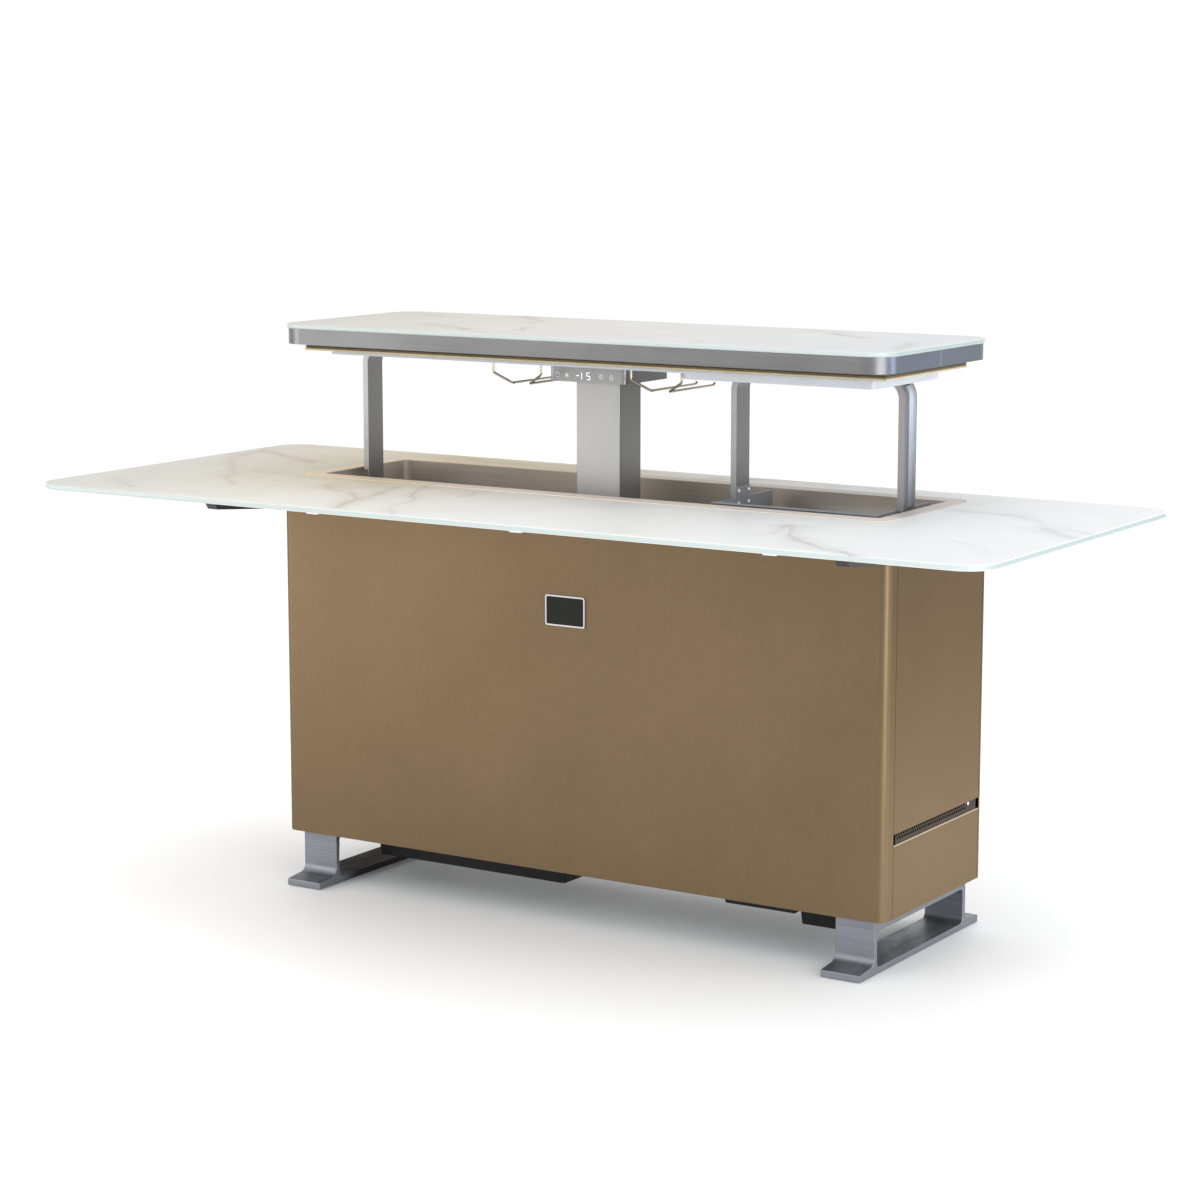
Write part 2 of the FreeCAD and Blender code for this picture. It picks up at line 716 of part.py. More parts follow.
def feet():
    save("foot_left", foot(-1))
    save("foot_right", foot(1))
    pads = []
    for x in (-foot_x, foot_x):
        for side in (-1, 1):
            y = FOOT_Y + side * (foot_length / 2 - FOOT_PAD_LENGTH / 2 - FOOT_PAD_INSET)
            pads.append(slab(FOOT_PAD_WIDTH, FOOT_PAD_LENGTH, FOOT_TIP_FILLET, 0, FOOT_PAD_THICK, x, y))
    save("foot_pads", *pads)


def bolt(x, y, seat, top):
    """A bolt with its head under the seat level and its nut on the top level."""
    head = cylinder((x, y, seat - BOLT_HEAD_HEIGHT), (0, 0, 1), BOLT_HEAD / 2, BOLT_HEAD_HEIGHT)
    shank = cylinder((x, y, seat - 1), (0, 0, 1), BOLT / 2, top - seat + BOLT_NUT_HEIGHT + 2)
    nut = cylinder((x, y, top), (0, 0, 1), BOLT_HEAD / 2, BOLT_NUT_HEIGHT)
    return head.fuse(shank).fuse(nut)


def mounting_bolts():
    bolts = [bolt(x, y, CABINET_BOTTOM - FOOT_PLATE, base_top) for x, y in foot_bolt_places()]
    bolts += [bolt(x, y, CABINET_BOTTOM, motor_bottom) for x, y in column_bolt_places()]
    save("mounting_bolts", *bolts)


# Blank badge
def badge():
    face = -half_depth
    x0 = BADGE_X - BADGE_WIDTH / 2
    z0 = badge_z - BADGE_HEIGHT / 2

    def tile(inset, y0, y1, corner):
        tall = y1 - y0
        plate = box(x0 + inset, x0 + BADGE_WIDTH - inset, y0, y1, z0 + inset, z0 + BADGE_HEIGHT - inset)
        across = [e for e in plate.Edges if abs(e.BoundBox.YLength - tall) < 1e-6]
        return plate.makeFillet(corner, across)

    bezel = tile(0, face - BADGE_RISE, face, BADGE_CORNER)
    inner = BADGE_CORNER - BADGE_BEZEL / 2
    bezel = bezel.cut(tile(BADGE_BEZEL, face - BADGE_RISE - 1, face + 1, inner))
    save("badge_bezel", bezel)
    save("badge_plate", tile(BADGE_BEZEL, face - BADGE_PLATE, face, inner))


# Tank, insulation and cooling plates
def column_passage(z0, z1):
    return slab(outer_width + 2 * FIT, outer_depth + 2 * FIT, outer_corner, z0, z1, COLUMN_X)


def tank_outside(top):
    return slab(tank_out_length, tank_out_depth, tank_out_corner, tank_floor - TANK_WALL, top)


def evaporator_plate(side):
    inner = side * tank_out_depth / 2
    outer = inner + side * EVAPORATOR_THICK
    return box(-evaporator_length / 2, evaporator_length / 2, min(inner, outer), max(inner, outer),
               evaporator_bottom, evaporator_top)


def cold_tank():
    shell = tank_outside(TOP_HEIGHT)
    rim = slab(flange_length, flange_depth, flange_corner, TOP_HEIGHT - TANK_WALL, TOP_HEIGHT)
    cavity = slab(tank_length, tank_depth, TANK_CORNER, tank_floor, TOP_HEIGHT + 1)
    shell = shell.fuse(rim).cut(cavity)
    save("tank", shell.cut(column_passage(tank_floor - TANK_WALL - 1, tank_floor + 1)).removeSplitter())
    block = slab(inside_length - 2 * FIT, inside_depth - 2 * FIT, inside_corner,
                 insulation_bottom, panel_top - SHEET)
    collar = slab(flange_length, flange_depth, flange_corner, panel_top - SHEET - 1, TOP_HEIGHT - TANK_WALL)
    block = block.fuse(collar).cut(tank_outside(TOP_HEIGHT))
    block = block.cut(column_passage(insulation_bottom - 1, tank_floor))
    plates = [evaporator_plate(side) for side in (-1, 1)]
    save("insulation", block.cut(Part.makeCompound(plates)).removeSplitter())
    save("evaporator_plates", *plates)


# Cooling machine
def compressor():
    x = compressor_x
    floor = tub_bottom + TUB_WALL
    plate_bottom = floor + MOUNT_HEIGHT
    low = plate_bottom + COMPRESSOR_PLATE
    high = low + COMPRESSOR_HEIGHT
    radius = COMPRESSOR_RADIUS
    dome = COMPRESSOR_DOME
    arc_z = dome * math.sqrt(0.5)
    side_low = Vector(x + radius, 0, low + dome)
    side_high = Vector(x + radius, 0, high - dome)
    edges = [
        Part.LineSegment(Vector(x, 0, low), Vector(x + radius - dome, 0, low)).toShape(),
        Part.Arc(Vector(x + radius - dome, 0, low),
                 Vector(x + radius - dome + dome * math.sqrt(0.5), 0,
                        low + dome - arc_z), side_low).toShape(),
        Part.LineSegment(side_low, side_high).toShape(),
        Part.Arc(side_high, Vector(x + radius - dome + dome * math.sqrt(0.5), 0, high - dome + arc_z),
                 Vector(x + radius - dome, 0, high)).toShape(),
        Part.LineSegment(Vector(x + radius - dome, 0, high), Vector(x, 0, high)).toShape(),
        Part.LineSegment(Vector(x, 0, high), Vector(x, 0, low)).toShape(),
    ]
    shell = Part.Face(Part.Wire(edges)).revolve(Vector(x, 0, 0), Vector(0, 0, 1), 360)
    foot_plate = slab(COMPRESSOR_PLATE_X, COMPRESSOR_PLATE_Y, MOUNT_RADIUS, plate_bottom, low, x)
    save("compressor", shell.fuse(foot_plate))
    mounts = []
    for i in (-1, 1):
        for j in (-1, 1):
            place = (x + i * (COMPRESSOR_PLATE_X / 2 - MOUNT_INSET),
                     j * (COMPRESSOR_PLATE_Y / 2 - MOUNT_INSET), floor)
            mounts.append(cylinder(place, (0, 0, 1), MOUNT_RADIUS, MOUNT_HEIGHT))
    save("compressor_mounts", *mounts)


def compressor_tub():
    length = tub_right - tub_left
    centre = (tub_right + tub_left) / 2
    tub = slab(length, 2 * TUB_HALF_DEPTH, TUB_CORNER, tub_bottom, CABINET_BOTTOM, centre)
    inside = slab(length - 2 * TUB_WALL, 2 * (TUB_HALF_DEPTH - TUB_WALL), TUB_CORNER - TUB_WALL,
                  tub_bottom + TUB_WALL, CABINET_BOTTOM + 1, centre)
    save("compressor_tub", tub.cut(inside))


def condenser():
    x0 = shroud_x + SHROUD_DEPTH
    x1 = x0 + COIL_DEPTH
    w = coil_half
    top = base_top + coil_height
    coil = box(x0, x1, -w, -w + SHROUD_SHEET, base_top,
               top).fuse(box(x0, x1, w - SHROUD_SHEET, w, base_top, top))
    for i in range(FIN_COUNT):
        y = -w + 2 * w * (i + 0.5) / FIN_COUNT
        coil = coil.fuse(box(x0, x1, y - FIN_THICK / 2, y + FIN_THICK / 2, base_top, top))
    for row in range(COIL_TUBE_ROWS):
        z = base_top + coil_height * (row + 0.5) / COIL_TUBE_ROWS
        coil = coil.fuse(cylinder(((x0 + x1) / 2, -w, z), (0, 1, 0), COIL_TUBE, 2 * w))
    save("condenser", coil)


def fan():
    w = coil_half
    top = base_top + coil_height
    shroud = box(shroud_x, shroud_x + SHROUD_DEPTH, -w, w, base_top, top)
    s = SHROUD_SHEET
    shroud = shroud.cut(box(shroud_x + s, shroud_x + SHROUD_DEPTH + 1, -w + s, w - s, base_top + s,
                            top - s))
    shroud = shroud.cut(cylinder((shroud_x - 1, 0, fan_z), (1, 0, 0), FAN_RADIUS + FAN_GAP, s + 2))
    save("fan_shroud", shroud)
    hub = cylinder((fan_rotor_x, 0, fan_z), (1, 0, 0), FAN_HUB, FAN_ROTOR_DEPTH)
    rotor = hub
    middle = fan_rotor_x + FAN_ROTOR_DEPTH / 2
    for i in range(FAN_BLADES):
        blade = box(middle - FAN_BLADE_THICK / 2, middle + FAN_BLADE_THICK / 2,
                    -FAN_BLADE_WIDTH / 2, FAN_BLADE_WIDTH / 2, fan_z, fan_z + FAN_RADIUS)
        blade.rotate(Vector(middle, 0, fan_z), Vector(0, 0, 1), FAN_BLADE_PITCH)
        blade.rotate(Vector(middle, 0, fan_z), Vector(1, 0, 0), 360.0 * i / FAN_BLADES)
        rotor = rotor.fuse(blade)
    reach = cylinder((fan_rotor_x - FAN_BLADE_WIDTH, 0, fan_z), (1, 0, 0), FAN_RADIUS,
                     2 * FAN_BLADE_WIDTH + FAN_ROTOR_DEPTH)
    rotor = rotor.common(reach)
    motor_face = fan_rotor_x - FAN_MOTOR_GAP
    shaft = cylinder((motor_face - FAN_SHAFT_LENGTH, 0, fan_z), (1, 0, 0), FAN_SHAFT,
                     FAN_SHAFT_LENGTH + FAN_MOTOR_GAP + 1)
    save("fan_rotor", rotor.fuse(shaft))
    rear = motor_face - FAN_MOTOR_LENGTH
    motor = cylinder((rear, 0, fan_z), (1, 0, 0), FAN_MOTOR_RADIUS, FAN_MOTOR_LENGTH)
    pedestal = box(rear, rear + PEDESTAL_WIDTH, -PEDESTAL_WIDTH / 2, PEDESTAL_WIDTH / 2, base_top, fan_z)
    motor = motor.fuse(pedestal)
    seat = cylinder((motor_face - FAN_SHAFT_LENGTH - COLLAR_GAP, 0, fan_z), (1, 0, 0), FAN_SHAFT + RUN,
                    FAN_SHAFT_LENGTH + COLLAR_GAP + 1)
    save("fan_motor", motor.cut(seat))


def refrigerant_pipes():
    side = compressor_x + COMPRESSOR_RADIUS
    other = compressor_x - COMPRESSOR_RADIUS
    coil = shroud_x + SHROUD_DEPTH
    coil_end = coil_half
    run = PIPE_BEND * 2
    hot = bent_rod([(side, 0, pipe_z), (side + run, 0, pipe_z),
                    (side + run, coil_end + PIPE + run / 2, pipe_z),
                    (coil + COIL_DEPTH / 2, coil_end + PIPE + run / 2, pipe_z), (coil + COIL_DEPTH / 2,
                                                                                 coil_end, pipe_z)],
                   PIPE, PIPE_BEND / 2)
    cold = bent_rod([(other, 0, pipe_z), (other - run, 0, pipe_z), (other - run, 0, insulation_bottom)],
                    PIPE, PIPE_BEND)
    drier_low = pipe_z + run
    feed_y = -coil_end - PIPE - run / 2
    feed = bent_rod([(coil + COIL_DEPTH / 2, -coil_end, liquid_z),
                     (coil + COIL_DEPTH / 2, feed_y, liquid_z),
                     (liquid_x, feed_y, liquid_z), (liquid_x, feed_y, drier_low)], PIPE, PIPE_BEND / 2)
    drier = cylinder((liquid_x, feed_y, drier_low), (0, 0, 1), DRIER_RADIUS, DRIER_LENGTH)
    rise = cylinder((liquid_x, feed_y, drier_low + DRIER_LENGTH), (0, 0, 1), PIPE,
                    insulation_bottom - drier_low - DRIER_LENGTH)
    save("refrigerant_pipes", hot, cold, feed, drier, rise)


# Power supply
def power_supply():
    def tray(left, right, front, rear, low, slant):
        outline = [(left, CABINET_BOTTOM), (right, CABINET_BOTTOM), (right - slant, low),
                   (left + slant, low)]
        shell = prism_y(outline, front, rear)
        w = POWER_WALL
        hollow = [(left + w, CABINET_BOTTOM + 1), (right - w, CABINET_BOTTOM + 1),
                  (right - slant - w, low + w),
                  (left + slant + w, low + w)]
        return shell.cut(prism_y(hollow, front + w, rear - w))

    supply = tray(power_left, power_right, POWER_FRONT, POWER_REAR, power_bottom, POWER_SLANT)
    duct = tray(duct_left, duct_right, DUCT_FRONT, DUCT_REAR, CABINET_BOTTOM - DUCT_DROP, DUCT_SLANT)
    save("power_box", supply, duct)


def power_inlet():
    w = INLET_WIDTH / 2
    h = INLET_HEIGHT / 2
    body = box(inlet_x - w + FIT, inlet_x + w - FIT, half_depth - INLET_DEPTH, half_depth,
               inlet_z - h + FIT, inlet_z + h - FIT)
    flange = box(inlet_x - w - INLET_FLANGE, inlet_x + w + INLET_FLANGE, half_depth,
                 half_depth + INLET_WALL,
                 inlet_z - h - INLET_FLANGE, inlet_z + h + INLET_FLANGE)
    recess = box(inlet_x - w + INLET_FLANGE, inlet_x + w - INLET_FLANGE,
                 half_depth - INLET_DEPTH + INLET_WALL,
                 half_depth + INLET_WALL + 1, inlet_z - h + INLET_WALL * 2, inlet_z + h - INLET_WALL * 2)
    inlet = body.fuse(flange).cut(recess)
    for i in (-1, 0, 1):
        x = inlet_x + i * INLET_PIN_PITCH
        z = inlet_z + (INLET_PIN if i == 0 else -INLET_PIN)
        inlet = inlet.fuse(box(x - INLET_PIN / 2, x + INLET_PIN / 2, half_depth - INLET_DEPTH,
                               half_depth - INLET_FLANGE,
                               z - INLET_PIN, z + INLET_PIN))
    save("power_inlet", inlet)


# Lifting column
def column():
    outer = slab(outer_width, outer_depth, outer_corner, base_top, outer_top, COLUMN_X)
    bore = slab(guide_width, guide_depth, COLUMN_CORNER, base_top - 1, outer_top + 1, COLUMN_X)
    flange = slab(outer_width + 2 * FLANGE_SIDE, outer_depth + 2 * FLANGE_SIDE, outer_corner, base_top,
                  motor_bottom,
                  COLUMN_X)
    tube = outer.cut(bore).fuse(flange)
    save("column_outer", tube.cut(bolt_holes(column_bolt_places(), base_top - 1, motor_bottom + 1)))
    wiper = slab(outer_width, outer_depth, outer_corner, outer_top, outer_top + WIPER_HEIGHT, COLUMN_X)
    gap = slab(COLUMN_WIDTH + 2 * WIPER_GAP, COLUMN_DEPTH + 2 * WIPER_GAP, COLUMN_CORNER, outer_top - 1,
               outer_top + WIPER_HEIGHT + 1, COLUMN_X)
    save("column_wiper", wiper.cut(gap))
    seal = slab(outer_width + 2 * SEAL_WIDTH, outer_depth + 2 * SEAL_WIDTH, outer_corner + SEAL_WIDTH,
                tank_floor,
                tank_floor + SEAL_HEIGHT, COLUMN_X)
    save("column_seal", seal.cut(column_passage(tank_floor - 1, tank_floor + SEAL_HEIGHT + 1)))
    inner = slab(COLUMN_WIDTH, COLUMN_DEPTH, COLUMN_CORNER, column_bottom, column_top, COLUMN_X)
    core = slab(COLUMN_WIDTH - 2 * COLUMN_WALL, COLUMN_DEPTH - 2 * COLUMN_WALL, 0, column_bottom - 1,
                column_top + 1, COLUMN_X)
    cap = slab(HEAD_WIDTH - 2 * CAP_INSET, HEAD_DEPTH - 2 * CAP_INSET, HEAD_WALL, column_top, liner_bottom,
               head_x, HEAD_Y)
    save("column_inner", inner.cut(core).fuse(cap))


def glide_set(width, depth, thick, z0):
    """Four flat glides around a rectangle, standing inward from width and depth."""
    z1 = z0 + GLIDE_HEIGHT
    x_half = width / 2
    y_half = depth / 2
    long_half = x_half - GLIDE_MARGIN
    short_half = y_half - GLIDE_MARGIN
    pads = []
    for s in (-1, 1):
        a = s * x_half
        b = s * (x_half - thick)
        pads.append(box(COLUMN_X + min(a, b), COLUMN_X + max(a, b), -short_half, short_half, z0, z1))
        a = s * y_half
        b = s * (y_half - thick)
        pads.append(box(COLUMN_X - long_half, COLUMN_X + long_half, min(a, b), max(a, b), z0, z1))
    return pads


def column_glides():
    save("outer_glides", *glide_set(guide_width, guide_depth, GLIDE, outer_top - GLIDE_HEIGHT))
    grown = 2 * GLIDE
    save("inner_glides", *glide_set(COLUMN_WIDTH + grown, COLUMN_DEPTH + grown, GLIDE, column_bottom))


def lift_drive():
    axis = (0, 0, 1)
    motor = cylinder((COLUMN_X, 0, motor_bottom), axis, MOTOR_RADIUS, MOTOR_HEIGHT)
    gears = cylinder((COLUMN_X, 0, gear_bottom), axis, GEAR_RADIUS, GEAR_HEIGHT)
    seat = cylinder((COLUMN_X, 0, bearing_bottom - SPINDLE_SEAT - COLLAR_GAP), axis, SPINDLE + RUN,
                    SPINDLE_SEAT + COLLAR_GAP + 1)
    save("lift_motor", motor.fuse(gears).cut(seat))
    bearing = slab(guide_width - 2 * FIT, guide_depth - 2 * FIT, COLUMN_CORNER, bearing_bottom, bearing_top,
                   COLUMN_X)
    hole = cylinder((COLUMN_X, 0, bearing_bottom - 1), axis, SPINDLE + RUN, BEARING_THICK + 2)
    save("bearing_plate", bearing.cut(hole))
    low = bearing_bottom - SPINDLE_SEAT
    rod = cylinder((COLUMN_X, 0, low), axis, SPINDLE, spindle_top - low)
    collar = cylinder((COLUMN_X, 0, bearing_top + COLLAR_GAP), axis, COLLAR_RADIUS, COLLAR_HEIGHT)
    save("spindle", rod.fuse(collar))
    nut = slab(COLUMN_WIDTH - 2 * COLUMN_WALL, COLUMN_DEPTH - 2 * COLUMN_WALL, 0, column_bottom,
               column_bottom + NUT_HEIGHT, COLUMN_X)
    thread = cylinder((COLUMN_X, 0, column_bottom - 1), axis, SPINDLE + RUN, NUT_HEIGHT + 2)
    save("lift_nut", nut.cut(thread))


# Lid
def lid():
    glass = slab(lid_length, lid_depth, LID_CORNER, rim_top, lid_top)
    save("lid_glass", soften_rims(glass, LID_EDGE))
    rim_length = lid_length - 2 * RIM_INSET
    rim_depth = lid_depth - 2 * RIM_INSET
    rim_corner = LID_CORNER - RIM_INSET
    pan_length = rim_length - 2 * RIM_WALL
    pan_depth = rim_depth - 2 * RIM_WALL
    pan_corner = rim_corner - RIM_WALL
    pan_floor = rim_bottom + RIM_WALL
    boss_length = liner_length - 2 * LINER_WALL
    boss_depth = liner_depth - 2 * LINER_WALL
    boss_corner = LINER_CORNER - LINER_WALL
    rim = slab(rim_length, rim_depth, rim_corner, rim_bottom, rim_top)
    rim = rim.cut(slab(pan_length, pan_depth, pan_corner, pan_floor, rim_top + 1))
    rim = rim.cut(slab(boss_length, boss_depth, boss_corner, rim_bottom - 1, pan_floor + 1))
    save("lid_rim", rim)
    core = slab(pan_length - 2 * FIT, pan_depth - 2 * FIT, pan_corner, pan_floor, rim_top)
    boss = slab(boss_length - 2 * FIT, boss_depth - 2 * FIT, boss_corner, liner_bottom + LINER_WALL,
                pan_floor + 1)
    save("lid_core", core.fuse(boss))
    liner = slab(liner_length, liner_depth, LINER_CORNER, liner_bottom, rim_bottom)
    liner = liner.cut(slab(boss_length, boss_depth, boss_corner, liner_bottom + LINER_WALL, rim_bottom + 1))
    plug = box(PLUG_LEFT, plug_right, -plug_depth / 2, plug_depth / 2, plug_bottom,
               liner_bottom + LINER_WALL / 2)
    for x, radius in ((PLUG_LEFT, PLUG_ROUND), (plug_right, LINER_CORNER)):
        upright = [e for e in plug.Edges if abs(e.BoundBox.XMin - x) < 1e-6 and e.BoundBox.XLength < 1e-6
                   and e.BoundBox.YLength < 1e-6]
        plug = plug.makeFillet(radius, upright)
    save("lid_liner", liner.fuse(plug))
    inner_length = gasket_length - 2 * GASKET_WIDTH
    inner_depth = gasket_depth - 2 * GASKET_WIDTH
    bead = slab(gasket_length, gasket_depth, 0, gasket_top - GASKET_BEAD, gasket_top)
    save("lid_gasket", bead.cut(slab(inner_length, inner_depth, 0, gasket_top - GASKET_BEAD - 1,
                                     gasket_top + 1)))
    inset = 2 * CARRIER_INSET
    carrier = slab(gasket_length - inset, gasket_depth - inset, 0, gasket_top, rim_bottom)
    save("gasket_carrier", carrier.cut(slab(inner_length + inset, inner_depth + inset, 0, gasket_top - 1,
                                            rim_bottom + 1)))


# Control head around the top of the column
def control_head():
    shell = slab(HEAD_WIDTH, HEAD_DEPTH, HEAD_CORNER, head_bottom, liner_bottom, head_x, HEAD_Y)
    inside = slab(HEAD_WIDTH - 2 * HEAD_WALL, HEAD_DEPTH - 2 * HEAD_WALL, HEAD_CORNER - HEAD_WALL,
                  head_bottom + HEAD_WALL, liner_bottom + 1, head_x, HEAD_Y)
    passage = slab(COLUMN_WIDTH + 2 * HEAD_GAP, COLUMN_DEPTH + 2 * HEAD_GAP, COLUMN_CORNER, head_bottom - 1,
                   head_bottom + HEAD_WALL + 1, COLUMN_X)
    save("control_head", shell.cut(inside).cut(passage))
    front = HEAD_Y - HEAD_DEPTH / 2 + HEAD_WALL
    half = HEAD_WIDTH / 2 - HEAD_CORNER - BOARD_MARGIN
    save("control_board", box(head_x - half, head_x + half, front, front + BOARD_THICK,
                              head_bottom + BOARD_EDGE, column_top - BOARD_EDGE))


# Straps, trays and racks
def strap(x, side, top, end):
    """A channel bar whose top leans toward side, +1 or -1 along X, and ends flat at top."""
    inner = STRAP_DEPTH / 2
    centre = inner + STRAP_BEND
    shoulder = top - STRAP_BEND_RISE
    diagonal = math.sqrt(0.5)

    def at(u, z):
        return Vector(x + side * u, 0, z)

    def bent_band(near, far, low, width):
        """A bent plate between two radii about the bend centre, from low upward."""
        edges = [
            Part.LineSegment(at(centre - near, low), at(centre - near, shoulder)).toShape(),
            Part.Arc(at(centre - near, shoulder), at(centre - near * diagonal, shoulder + near * diagonal),
                     at(centre, shoulder + near)).toShape(),
            Part.LineSegment(at(centre, shoulder + near), at(centre, shoulder + far)).toShape(),
            Part.Arc(at(centre, shoulder + far), at(centre - far * diagonal, shoulder + far * diagonal),
                     at(centre - far, shoulder)).toShape(),
            Part.LineSegment(at(centre - far, shoulder), at(centre - far, low)).toShape(),
            Part.LineSegment(at(centre - far, low), at(centre - near, low)).toShape(),
        ]
        return Part.Face(Part.Wire(edges)).extrude(Vector(0, width, 0))

    bar = bent_band(STRAP_BEND, STRAP_BEND + STRAP_SHEET, end, STRAP_WIDTH)
    for y in (0, STRAP_WIDTH - STRAP_SHEET):
        flange = bent_band(STRAP_BEND + STRAP_SHEET, STRAP_BEND + STRAP_DEPTH, strap_flange_end, STRAP_SHEET)
        flange.translate(Vector(0, y, 0))
        bar = bar.fuse(flange)
    bar.translate(Vector(0, -STRAP_WIDTH / 2, 0))
    reach = STRAP_BEND + STRAP_DEPTH
    room = box(x - 2 * reach, x + 2 * reach, -STRAP_WIDTH, STRAP_WIDTH, end - 1, top)
    return bar.common(room).removeSplitter()


def straps():
    save("strap_left", strap(strap_left, 1, liner_bottom, shelf_bottom))
    save("strap_middle", strap(STRAP_MIDDLE, 1, plug_bottom, strap_end))
    save("strap_right", strap(strap_right, -1, plug_bottom, strap_end))


def trays():
    left = STRAP_MIDDLE + STRAP_DEPTH / 2
    right = strap_right - STRAP_DEPTH / 2
    tab = STRAP_WIDTH / 2
    side_bottom = tray_top - TRAY_SIDE_HEIGHT
    outline = [(TRAY_FRONT, tray_top), (-tab, tray_top), (-tab, tray_tab_top), (tab, tray_tab_top),
               (tab, tray_top),
               (TRAY_REAR, tray_top), (TRAY_REAR, side_bottom), (PAN_REAR, side_bottom), (PAN_REAR,
                                                                                          pan_bottom),
               (PAN_FRONT, pan_bottom), (PAN_FRONT, side_bottom), (TRAY_FRONT, side_bottom)]
    frame = prism_x(outline, left, left + TRAY_PLATE).fuse(prism_x(outline, right - TRAY_PLATE, right))
    rod_z = tray_top - TRAY_ROD + TRAY_ROD_RISE
    rod = cylinder((left + TRAY_PLATE / 2, TRAY_FRONT + TRAY_ROD, rod_z), (1, 0, 0), TRAY_ROD,
                   right - left - TRAY_PLATE)
    save("tray_frame", frame.fuse(rod))
    x0 = left + TRAY_PLATE
    x1 = right - TRAY_PLATE
    pan = box(x0, x1, PAN_FRONT, PAN_REAR, pan_bottom, pan_top)
    save("tray_pan", pan.cut(box(x0 - 1, x1 + 1, PAN_FRONT + PAN_SHEET, PAN_REAR - PAN_SHEET,
                                 pan_bottom + PAN_SHEET,
                                 pan_top + 1)))
    start = strap_left + STRAP_DEPTH / 2
    d = SHELF_HALF_DEPTH
    w = TRAY_PLATE
    shelf = box(start, start + SHELF_LENGTH, -d, d, shelf_bottom, shelf_bottom + SHELF_WALL)
    shelf = shelf.cut(box(start + w, start + SHELF_LENGTH - w, -d + w, d - w, shelf_bottom + w,
                          shelf_bottom + SHELF_WALL + 1))
    shelf = shelf.fuse(box(start, start + w, -tab, tab, shelf_bottom, shelf_tab_top))
    save("shelf_left", shelf)
    screws = []

    def screw_square(face, direction, top):
        for y in (-SCREW_Y, SCREW_Y):
            for z in (top - SCREW_DROP, top - SCREW_DROP - SCREW_PITCH_Z):
                screws.append(cylinder((face, y, z), (direction, 0, 0), SCREW_HEAD, SCREW_RISE))

    screw_square(x0, 1, tray_tab_top)
    screw_square(x1, -1, tray_tab_top)
    screw_square(start + w, 1, shelf_tab_top)
    save("tray_screws", *screws)


def rack(x):
    wires = []
    foot_z = liner_bottom
    rail_z = liner_bottom - RACK_DROP
    for s in (-1, 1):
        out = x + s * RACK_HALF_WIDTH
        rail = x + s * RACK_HALF_GAP
        wires.append(bent_rod([(out, RACK_FRONT, foot_z), (out, RACK_FRONT, foot_z - RACK_LEG),
                               (rail, RACK_RAIL_FRONT, rail_z), (rail, RACK_RAIL_REAR, rail_z),
                               (rail, RACK_RAIL_REAR + RACK_TIP, rail_z + RACK_TIP)], RACK_WIRE, RACK_BEND))
    return wires


def racks():
    save("glass_rack_left", *rack(RACK_LEFT))
    save("glass_rack_right", *rack(RACK_RIGHT))


table_top()
opening_trim()
support_frame()
top_pads()
cabinet_panels()
vent_grilles()
base_plate()
feet()
mounting_bolts()
badge()
cold_tank()
compressor()
compressor_tub()
condenser()
fan()
refrigerant_pipes()
power_supply()
power_inlet()
column()
column_glides()
lift_drive()
lid()
control_head()
straps()
trays()
racks()
print("lift travel, mm:", gasket_top - GASKET_BEAD - trim_top)
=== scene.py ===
import json
import math

import bmesh
import bpy
from mathutils import Matrix, Vector


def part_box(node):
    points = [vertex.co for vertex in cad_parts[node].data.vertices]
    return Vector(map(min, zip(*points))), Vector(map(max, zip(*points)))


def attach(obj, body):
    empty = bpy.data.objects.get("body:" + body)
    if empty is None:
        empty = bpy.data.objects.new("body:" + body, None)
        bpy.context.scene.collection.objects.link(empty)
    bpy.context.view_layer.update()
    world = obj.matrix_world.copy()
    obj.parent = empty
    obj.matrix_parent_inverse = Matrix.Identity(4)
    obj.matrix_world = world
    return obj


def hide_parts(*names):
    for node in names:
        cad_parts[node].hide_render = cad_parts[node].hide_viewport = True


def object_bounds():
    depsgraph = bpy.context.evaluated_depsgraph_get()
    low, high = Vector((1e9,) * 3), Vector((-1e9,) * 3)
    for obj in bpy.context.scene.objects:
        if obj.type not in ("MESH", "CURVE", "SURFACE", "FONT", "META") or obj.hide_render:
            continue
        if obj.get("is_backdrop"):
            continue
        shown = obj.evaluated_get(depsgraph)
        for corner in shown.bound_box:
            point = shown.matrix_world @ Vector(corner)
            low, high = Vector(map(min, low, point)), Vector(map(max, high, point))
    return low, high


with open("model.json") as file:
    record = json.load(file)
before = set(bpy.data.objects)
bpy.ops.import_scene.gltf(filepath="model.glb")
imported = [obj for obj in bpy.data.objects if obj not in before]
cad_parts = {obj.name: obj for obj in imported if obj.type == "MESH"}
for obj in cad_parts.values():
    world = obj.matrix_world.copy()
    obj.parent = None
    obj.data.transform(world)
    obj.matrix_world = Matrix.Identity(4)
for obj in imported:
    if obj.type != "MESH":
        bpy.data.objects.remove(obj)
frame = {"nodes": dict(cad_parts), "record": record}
cad_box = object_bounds()
nodes = frame["nodes"]

# Camera, in metres and degrees
CAMERA_PLACE = (2.7462, -4.2996, 1.4116)
CAMERA_AZIMUTH = 32.273
CAMERA_PITCH = 9.386
CAMERA_LENS = 90.0
CAMERA_SENSOR = 36.0
CAMERA_REACH = 200.0

# Studio
FLOOR_HALF = 60.0
FLOOR_PAINT = ((0.94, 0.94, 0.94), (0.96, 0.96, 0.96))
SKY_STRENGTH = 1.07

